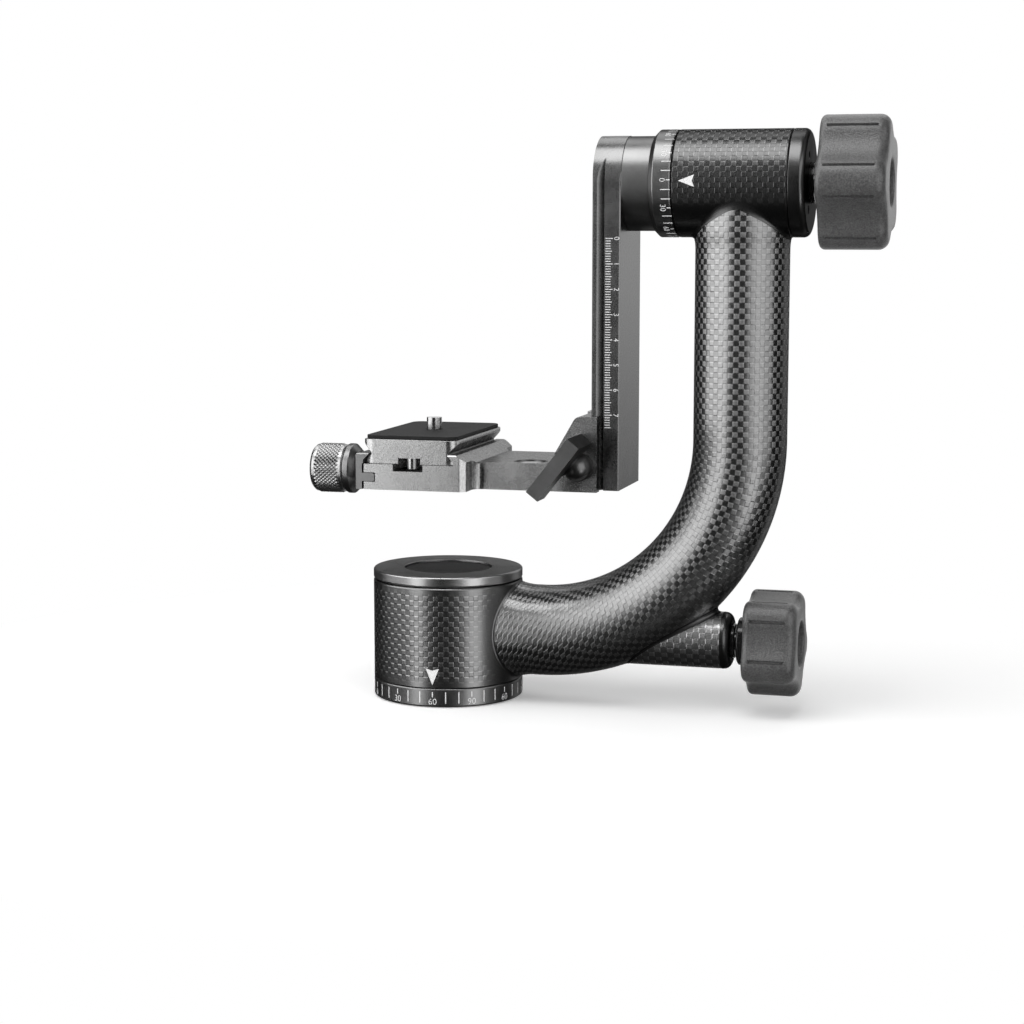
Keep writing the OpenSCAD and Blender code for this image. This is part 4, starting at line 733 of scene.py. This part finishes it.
def star_knob(name, body, node, axis_z, d, lobe_r, depth, turn):
    """Star knob with soft edges all round and engraved grip lines, as long as its CAD node.
    d is its diameter, depth that of the hollows between lobes, in mm, and turn its angle in degrees."""
    low, high = box_mm(node)
    width = high.x - low.x
    outline = star_outline(d / 2, lobe_r, depth)

    def put(p, x):
        spot = turned(Vector((p.y, -p.x)), math.radians(turn))
        return Vector((low.x + x, spot.x, axis_z + spot.y))

    def circle(r, x):
        return [put(p.normalized() * r, x) for p, n, cut in outline]

    side = [(inset, x, 0) for inset, x in arc(BACK_EDGE, BACK_EDGE, BACK_EDGE, -90, -180, BACK_STEPS)]
    side += [(0, LINE_BACK[0], 0), (0, LINE_BACK[1], 1)]
    side += [(0, width - LINE_FRONT[1], 1), (0, width - LINE_FRONT[0], 0)]
    front = arc(FRONT_EDGE, width - FRONT_EDGE, FRONT_EDGE, 180, 90, FRONT_STEPS)[1:]
    side += [(inset, x, 0) for inset, x in front]

    rings = [circle(BORE_R, 0.0), circle(BACK_R, 0.0)]
    for inset, x, lined in side:
        rings.append([put(p - n * (inset + LINE_DEPTH * lined * cut), x) for p, n, cut in outline])
    mouth = RECESS_R + LIP
    edge = [p - n * FRONT_EDGE for p, n, cut in outline]
    for f in CROWN_RINGS:
        rise = CROWN * math.sin(f * math.pi)
        rings.append([put(p.lerp(p.normalized() * mouth, f), width + rise) for p in edge])
    rings += [circle(r, x) for r, x in arc(mouth, width - LIP_R, LIP_R, 90, 180, LIP_STEPS)]
    bottom = width - RECESS_DEPTH
    rings += [circle(RECESS_R, bottom + RECESS_CORNER), circle(RECESS_R - RECESS_CORNER, bottom)]
    rings.append(circle(BORE_R, bottom))
    verts, faces = skin(rings + [rings[0]])
    return piece(name, verts, faces, body, KNOB, sharp=50)


# The clamp knob's knurl: points round it, rows along it, depth, and its distance from each end, in mm.
KNURL_AROUND, KNURL_ROWS = 80, 13
KNURL_DEPTH = 0.5
KNURL_FRONT, KNURL_BACK = 2.0, 1.4


def knurled_knob():
    """Clamp knob with a cut diamond knurl between plain, chamfered ends."""
    low, high = box_mm("clamp_knob")
    r, axis_z = (high.z - low.z) / 2, (low.z + high.z) / 2

    def point(radius, x, k):
        a = math.tau * k / KNURL_AROUND
        return Vector((x, radius * math.cos(a), axis_z + radius * math.sin(a)))

    def ring(radius, x):
        return [point(radius, x, k) for k in range(KNURL_AROUND)]

    # Radius and distance from the end: a dished middle, a flat rim, a chamfer and a plain band.
    dish = 0.5
    plain = r - KNURL_DEPTH
    front = [(0.8, dish), (5.6, dish), (6.0, 0.35), (6.4, 0.0), (r - 1.9, 0.0), (r - 1.5, 0.15)]
    front += [(plain - 0.05, 1.2), (plain, 1.7)]
    back = [(plain, KNURL_BACK - 0.3), (plain, 0.5), (r - 0.9, 0.1), (r - 1.1, 0.0), (3.0, 0.0)]

    start, end = low.x + KNURL_FRONT, high.x - KNURL_BACK
    grid = []
    for j in range(KNURL_ROWS):
        x = start + (end - start) * j / (KNURL_ROWS - 1)
        inner = 0 < j < KNURL_ROWS - 1
        tops = [inner and (j + k) % 2 == 0 for k in range(KNURL_AROUND)]
        grid.append([point(r if top else plain, x, k) for k, top in enumerate(tops)])
    rings = [ring(q, low.x + x) for q, x in front] + grid + [ring(q, high.x - x) for q, x in back]
    verts, quads = skin(rings)

    # Each quad of the knurl is split from low point to low point, which keeps the high ones sharp.
    faces = []
    for a, b, c, d in quads:
        k, i = divmod(a, KNURL_AROUND)
        j = k - len(front)
        if not 0 <= j < KNURL_ROWS - 1:
            faces.append((a, b, c, d))
        elif (j + i) % 2 == 0:
            faces += [(a, b, d), (b, c, d)]
        else:
            faces += [(a, b, c), (a, c, d)]

    n = len(verts)
    last = n - KNURL_AROUND
    verts += [Vector((low.x + dish, 0, axis_z)), Vector((high.x, 0, axis_z))]
    for k in range(KNURL_AROUND):
        following = (k + 1) % KNURL_AROUND
        faces += [(following, k, n), (last + k, last + following, n + 1)]
    obj = piece("clamp_grip", verts, faces, "clamp_knob", KNURL, sharp=20)
    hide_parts("clamp_knob")


# The ring on the boss's end in mm: points round it, lap over the end, its tail in the boss, its straight
# rim, its round edge with the angles where that starts and ends, and its bore.
RING_AROUND = 72
RING_LAP = 0.1
TAIL_LENGTH, TAIL_ROOM = 1.2, 0.5
RIM_LENGTH, RIM_PROUD = 0.35, 0.05
ROUND_R, ROUND_AT, ROUND_STEPS = 3.0, 0.7, 10
ROUND_START, ROUND_END = 88, 8
RING_BORE, BORE_END, BORE_CHAMFER = 7.15, 3.6, (0.15, 0.6)


def boss_ring():
    """Round-edged ring that closes the end of the pan lock's boss."""
    x = boss_high.x - RING_LAP
    tail_r, rim_r = BOSS_R - TAIL_ROOM, BOSS_R + RIM_PROUD
    profile = [(x - TAIL_LENGTH, RING_BORE), (x - TAIL_LENGTH, tail_r), (x, tail_r)]
    profile += [(x, rim_r), (x + RIM_LENGTH, rim_r)]
    profile += arc(x + ROUND_AT, BOSS_R - ROUND_R, ROUND_R, ROUND_START, ROUND_END, ROUND_STEPS)
    profile += [(x + BORE_END + BORE_CHAMFER[0], RING_BORE + BORE_CHAMFER[1]), (x + BORE_END, RING_BORE)]
    angles = [math.tau * k / RING_AROUND for k in range(RING_AROUND)]
    rings = [[Vector((px, r * math.sin(a), BOSS_Z + r * math.cos(a))) for a in angles] for px, r in profile]
    verts, faces = skin(rings + [rings[0]])
    piece("boss_ring", verts, faces, "arm", SATIN, sharp=40)


# Prints: thickness of the paint in mm, what is taken off each side of a stroke, as a share of the size, and
# the rows of an arrowhead, which bends with its surface.
PAINT_THICK = 0.08
STROKE_TRIM = 0.012
ARROW_ROWS = 6


def glyph(text, size):
    """Flat outline of a number, centred: points in mm and faces."""
    curve = bpy.data.curves.new("glyph", "FONT")
    curve.body, curve.size = text, size
    curve.align_x, curve.align_y = "CENTER", "CENTER"
    curve.resolution_u = 4
    curve.offset = -STROKE_TRIM * size
    obj = bpy.data.objects.new("glyph", curve)
    scene.collection.objects.link(obj)
    graph = bpy.context.evaluated_depsgraph_get()
    mesh = bpy.data.meshes.new_from_object(obj.evaluated_get(graph))
    points = [(v.co.x, v.co.y) for v in mesh.vertices]
    faces = [tuple(f.vertices) for f in mesh.polygons]
    bpy.data.objects.remove(obj)
    bpy.data.curves.remove(curve)
    bpy.data.meshes.remove(mesh)
    return points, faces


class Print:
    """A thin layer of paint on a surface: flat shapes in mm, laid on by a map from (u, v)."""

    def __init__(self, lay):
        self.lay = lay
        self.verts, self.faces = [], []

    def shape(self, points, faces):
        n = len(self.verts)
        self.verts += [Vector(self.lay(u, v)) for u, v in points]
        self.faces += [tuple(n + i for i in face) for face in faces]

    def bar(self, u0, v0, u1, v1):
        self.shape([(u0, v0), (u1, v0), (u1, v1), (u0, v1)], [(0, 1, 2, 3)])

    def number(self, value, u, v, size, sideways=False):
        points, faces = glyph(str(value), size)
        if sideways:
            points = [(y, -x) for x, y in points]
        self.shape([(u + x, v + y) for x, y in points], faces)

    def arrow(self, u, v, length, width, notch, du, dv):
        """Arrowhead with its tip at (u, v), pointing along (du, dv), notched in the middle of its back."""
        points, faces = [], []
        for k in range(ARROW_ROWS + 1):
            f = k / ARROW_ROWS
            for side in (-1, 0, 1):
                back = (length - notch * (1 - abs(side))) * f
                off = side * width / 2 * f
                points.append((u - du * back - dv * off, v - dv * back + du * off))
        for k in range(ARROW_ROWS):
            for a in (k * 3, k * 3 + 1):
                faces.append((a, a + 1, a + 4, a + 3))
        self.shape(points, faces)

    def make(self, name, body):
        mesh = bpy.data.meshes.new(name)
        mesh.from_pydata([v * MM for v in self.verts], [], self.faces)
        bm = bmesh.new()
        bm.from_mesh(mesh)
        bmesh.ops.remove_doubles(bm, verts=bm.verts, dist=PRINT_MERGE * MM)
        bmesh.ops.dissolve_degenerate(bm, edges=bm.edges, dist=MERGE * MM)
        bm.to_mesh(mesh)
        bm.free()
        obj = new_object(name, mesh, PAINT)
        solid = obj.modifiers.new("paint", "SOLIDIFY")
        solid.thickness = PAINT_THICK * MM
        solid.offset = 0
        mount(obj, body)


# Both dials have a line each 10 degrees and a number at every third. Sizes in mm, turns in degrees. The pan
# dial's places are heights, the tilt dial's are distances from its right edge, and the pan mark's is its
# tip's height over the barrel's lower end.
DIAL_LINES, DIAL_STEP, LABEL_EACH = 36, 10, 3
PAN_LABELS = (60, 90, 60, 30, 0, 30)
PAN_TURN = 4.9
PAN_LINE_HALF = 0.2
PAN_LINE_TOP, PAN_LINE_LOW, PAN_LINE_SHORT = 6.35, 1.6, 4.2
PAN_LABEL_Z, PAN_LABEL_SIZE = 2.2, 3.7
PAN_MARK_UP = 1.15
TILT_LABELS = (0, 30, 60, 90, 60, 30)
TILT_TURN, TILT_MARK_TURN = 2.8, 1.9
TILT_LINE_HALF = 0.16
TILT_LINE_END, TILT_LINE_LONG, TILT_LINE_SHORT = 0.05, 3.75, 1.6
TILT_LABEL_IN, TILT_LABEL_SIZE = 3.2, 3.2
TILT_MARK_OFF = 3.25
# The rail's ruler: a line each mm, its zero below the tilt axle, places in from the rail's right edge, and
# the lengths of its lines.
RULE_LINES, RULE_DROP = 76, 21.65
RULE_LINE_HALF = 0.14
RULE_LEFT, RULE_LABEL_IN, RULE_LABEL_SIZE = 5.95, 1.5, 3.0
RULE_CENTIMETRE, RULE_HALF, RULE_MILLIMETRE = 3.0, 2.65, 2.15


def on_base(u, v):
    """u runs round the base to the right of the front, v up."""
    return BASE_R * math.sin(u / BASE_R), -BASE_R * math.cos(u / BASE_R), v


def on_tilt(u, v):
    """u runs along the tilt axle, v up over the front."""
    return u, -TILT_R * math.cos(v / TILT_R), TILT_Z + TILT_R * math.sin(v / TILT_R)


def pan_prints():
    """Scale on the pan dial and its mark on the base barrel."""
    degree = math.radians(1) * BASE_R
    scale = Print(on_base)
    for k in range(DIAL_LINES):
        u = (PAN_TURN + DIAL_STEP * k) * degree
        labelled = k % LABEL_EACH == 0
        low = PAN_LINE_SHORT if labelled else PAN_LINE_LOW
        scale.bar(u - PAN_LINE_HALF, low, u + PAN_LINE_HALF, PAN_LINE_TOP)
        if labelled:
            value = PAN_LABELS[k // LABEL_EACH % len(PAN_LABELS)]
            scale.number(value, u, PAN_LABEL_Z, PAN_LABEL_SIZE)
    scale.make("pan_scale", "base")
    mark = Print(on_base)
    mark.arrow(PAN_TURN * degree, barrel_low.z + PAN_MARK_UP, length=6.8, width=5.5, notch=0.8, du=0, dv=-1)
    mark.make("pan_mark", "arm")


def tilt_prints():
    """Scale on the tilt dial and its mark on the tilt barrel."""
    degree = math.radians(1) * TILT_R
    end = dial_high.x
    scale = Print(on_tilt)
    for k in range(DIAL_LINES):
        v = (TILT_TURN - DIAL_STEP * k) * degree
        labelled = k % LABEL_EACH == 0
        left = end - (TILT_LINE_SHORT if labelled else TILT_LINE_LONG)
        scale.bar(left, v - TILT_LINE_HALF, end - TILT_LINE_END, v + TILT_LINE_HALF)
        if labelled:
            value = TILT_LABELS[k // LABEL_EACH % len(TILT_LABELS)]
            scale.number(value, end - TILT_LABEL_IN, v, TILT_LABEL_SIZE, sideways=True)
    scale.make("tilt_scale", "swing")
    mark = Print(on_tilt)
    mark.arrow(end + TILT_MARK_OFF, TILT_MARK_TURN * degree, length=6.3, width=4.8, notch=0.85, du=-1, dv=0)
    mark.make("tilt_mark", "arm")


def rail_print():
    """Ruler on the front of the swing rail."""
    low, high = box_mm("swing_rail")
    left = high.x - RULE_LEFT
    rule = Print(lambda u, v: (u, low.y, v))
    for k in range(RULE_LINES):
        v = TILT_Z - RULE_DROP - k
        length = RULE_CENTIMETRE if k % 10 == 0 else RULE_HALF if k % 5 == 0 else RULE_MILLIMETRE
        rule.bar(left, v - RULE_LINE_HALF, left + length, v + RULE_LINE_HALF)
        if k % 10 == 0:
            rule.number(k // 10, high.x - RULE_LABEL_IN, v, RULE_LABEL_SIZE, sideways=True)
    rule.make("rail_scale", "swing")


pan_grip = star_knob("pan_grip", "pan_lock", "pan_knob", BOSS_Z, d=44.4, lobe_r=7.8, depth=4.2, turn=7.4)
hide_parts("pan_knob")
tilt_grip = star_knob("tilt_grip", "tilt_lock", "tilt_knob", TILT_Z, d=53.8, lobe_r=9.6, depth=5.2, turn=53.2)
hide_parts("tilt_knob")
knurled_knob()
arm_skin()
root_fillet()
top_fillet()
boss_fillet()
boss_ring()
pan_prints()
tilt_prints()
rail_print()

# The studio in metres: the viewpoint as fitted to the photo, with its focal length and film in mm, the
# middle that the lamps face, and the lower and upper ends of the panels.
CAMERA_AIM = Vector((0.02782, 0.0, 0.07761))
CAMERA_BACK = Vector((0.2661, -0.9550, 0.1314)).normalized()
CAMERA_FAR = 0.9015
CAMERA_NEAR = 0.01
CAMERA_LENS, CAMERA_SENSOR = 76.27, 36
MIDDLE = (0.06, 0, 0.12)
UPRIGHT, LOW = (-0.03, 1.10), (-0.42, -0.06)


def camera():
    obj = bpy.data.objects.new("camera", bpy.data.cameras.new("camera"))
    scene.collection.objects.link(obj)
    scene.camera = obj
    obj.location = CAMERA_AIM + CAMERA_BACK * CAMERA_FAR
    obj.rotation_euler = CAMERA_BACK.to_track_quat("Z", "Y").to_euler()
    obj.data.lens = CAMERA_LENS
    obj.data.sensor_width = CAMERA_SENSOR
    obj.data.clip_start = CAMERA_NEAR


def lamp(name, place, size, radiance, target=MIDDLE):
    """Square-edged lamp that faces a target."""
    data = bpy.data.lights.new(name, "AREA")
    data.shape = "RECTANGLE"
    data.size, data.size_y = size
    data.energy = radiance * math.pi * size[0] * size[1]
    obj = bpy.data.objects.new(name, data)
    scene.collection.objects.link(obj)
    obj.location = place
    obj.rotation_euler = (Vector(place) - Vector(target)).to_track_quat("Z", "Y").to_euler()
    obj.visible_camera = False


def panel(name, x, turn, half, heights, radiance):
    """Upright lamp 1 m from x, turn degrees right of the front and half degrees wide to each side."""
    a = math.radians(turn)
    low, high = heights
    z = (low + high) / 2
    size = (2 * math.tan(math.radians(half)), high - low)
    lamp(name, (x + math.sin(a), -math.cos(a), z), size, radiance, (x, 0, z))


def lamps():
    """Two wide panels beside the viewpoint, two below the floor's level, one lamp above and one behind."""
    panel("left", MIDDLE[0], turn=-55.0, half=34.5, heights=UPRIGHT, radiance=1.8)
    panel("right", MIDDLE[0], turn=57.5, half=30.0, heights=UPRIGHT, radiance=1.05)
    panel("low left", 0.0, turn=-31.4, half=9.0, heights=LOW, radiance=1.75)
    panel("low right", 0.0, turn=56.6, half=12.0, heights=LOW, radiance=1.75)
    lamp("top", place=(-0.08, -0.33, 1.20), size=(1.00, 0.72), radiance=2.9)
    lamp("rear", place=(-0.10, 0.62, 1.05), size=(1.30, 0.60), radiance=1.5)


# The world by ray: white where it is seen, a weak fill to rough surfaces, and to shiny ones a backdrop that
# grows bright over the range BEHIND of the direction's y, with a dark band round its height HORIZON.
BEHIND, BEHIND_LEVEL = (0.6, 0.97), (0.012, 1.0)
HORIZON, BAND, BAND_LEVEL = -0.14, 0.12, (0.25, 1.0)
FILL = 0.13


def world():
    obj = bpy.data.worlds.new("studio")
    scene.world = obj
    obj.use_nodes = True
    w = Nodes(obj.node_tree)
    w.tree.nodes.clear()

    def glow(strength):
        node = w.fill(w.add("Background"), {"Color": grey(1.0), "Strength": strength})
        return node.outputs[0]

    ray = w.add("LightPath").outputs
    x, y, z = w.split(w.add("TexCoord").outputs["Generated"])
    depth = w.span(y, *BEHIND, *BEHIND_LEVEL)
    band = w.span(w.math("ABSOLUTE", w.minus(z, HORIZON)), 0.0, BAND, *BAND_LEVEL)
    shiny = w.math("MAXIMUM", ray["Is Glossy Ray"], ray["Is Transmission Ray"])
    lit = w.blend(shiny, glow(FILL), glow(w.times(depth, band)))
    seen = w.blend(ray["Is Camera Ray"], lit, glow(1.0))
    w.put(w.add("OutputWorld").inputs["Surface"], seen)


# The floor in metres: it lies just under the part, and from NEAR to FAR round FLOOR_X it runs out to white.
FLOOR_R, FLOOR_SIDES = 8.0, 96
FLOOR_DROP = 0.0003
FLOOR_TONE = 0.98
FLOOR_LIFT = 0.24
FLOOR_X = 0.05
NEAR, FAR = 0.13, 0.32


def floor_look():
    """White paper that shows a little brighter than the lamps make it."""
    s = Shader("floor")
    s.set(Base_Color=grey(FLOOR_TONE), Roughness=0.9, Specular_IOR_Level=0.0)
    seen = s.add("LightPath").outputs["Is Camera Ray"]
    x, y, z = s.xyz()
    far = s.span(s.length(s.minus(x, FLOOR_X), y), NEAR, FAR)
    lift = s.fill(s.add("Emission"), {"Strength": s.times(seen, FLOOR_LIFT)})
    near = s.fill(s.add("AddShader"), {0: s.bsdf.outputs[0], 1: lift.outputs[0]})
    paper = s.blend(s.times(far, seen), near.outputs[0], s.add("Emission").outputs[0])
    s.put(s.tree.nodes["Material Output"].inputs[0], paper)
    return s.mat


def floor():
    mesh = bpy.data.meshes.new("floor")
    bm = bmesh.new()
    bmesh.ops.create_circle(bm, cap_ends=True, segments=FLOOR_SIDES, radius=FLOOR_R)
    bm.to_mesh(mesh)
    bm.free()
    obj = new_object("floor", mesh, floor_look())
    obj.location.z = -FLOOR_DROP
    obj.visible_glossy = False
    obj.visible_shadow = False


scene.view_settings.view_transform = "Standard"
camera()
lamps()
world()
floor()
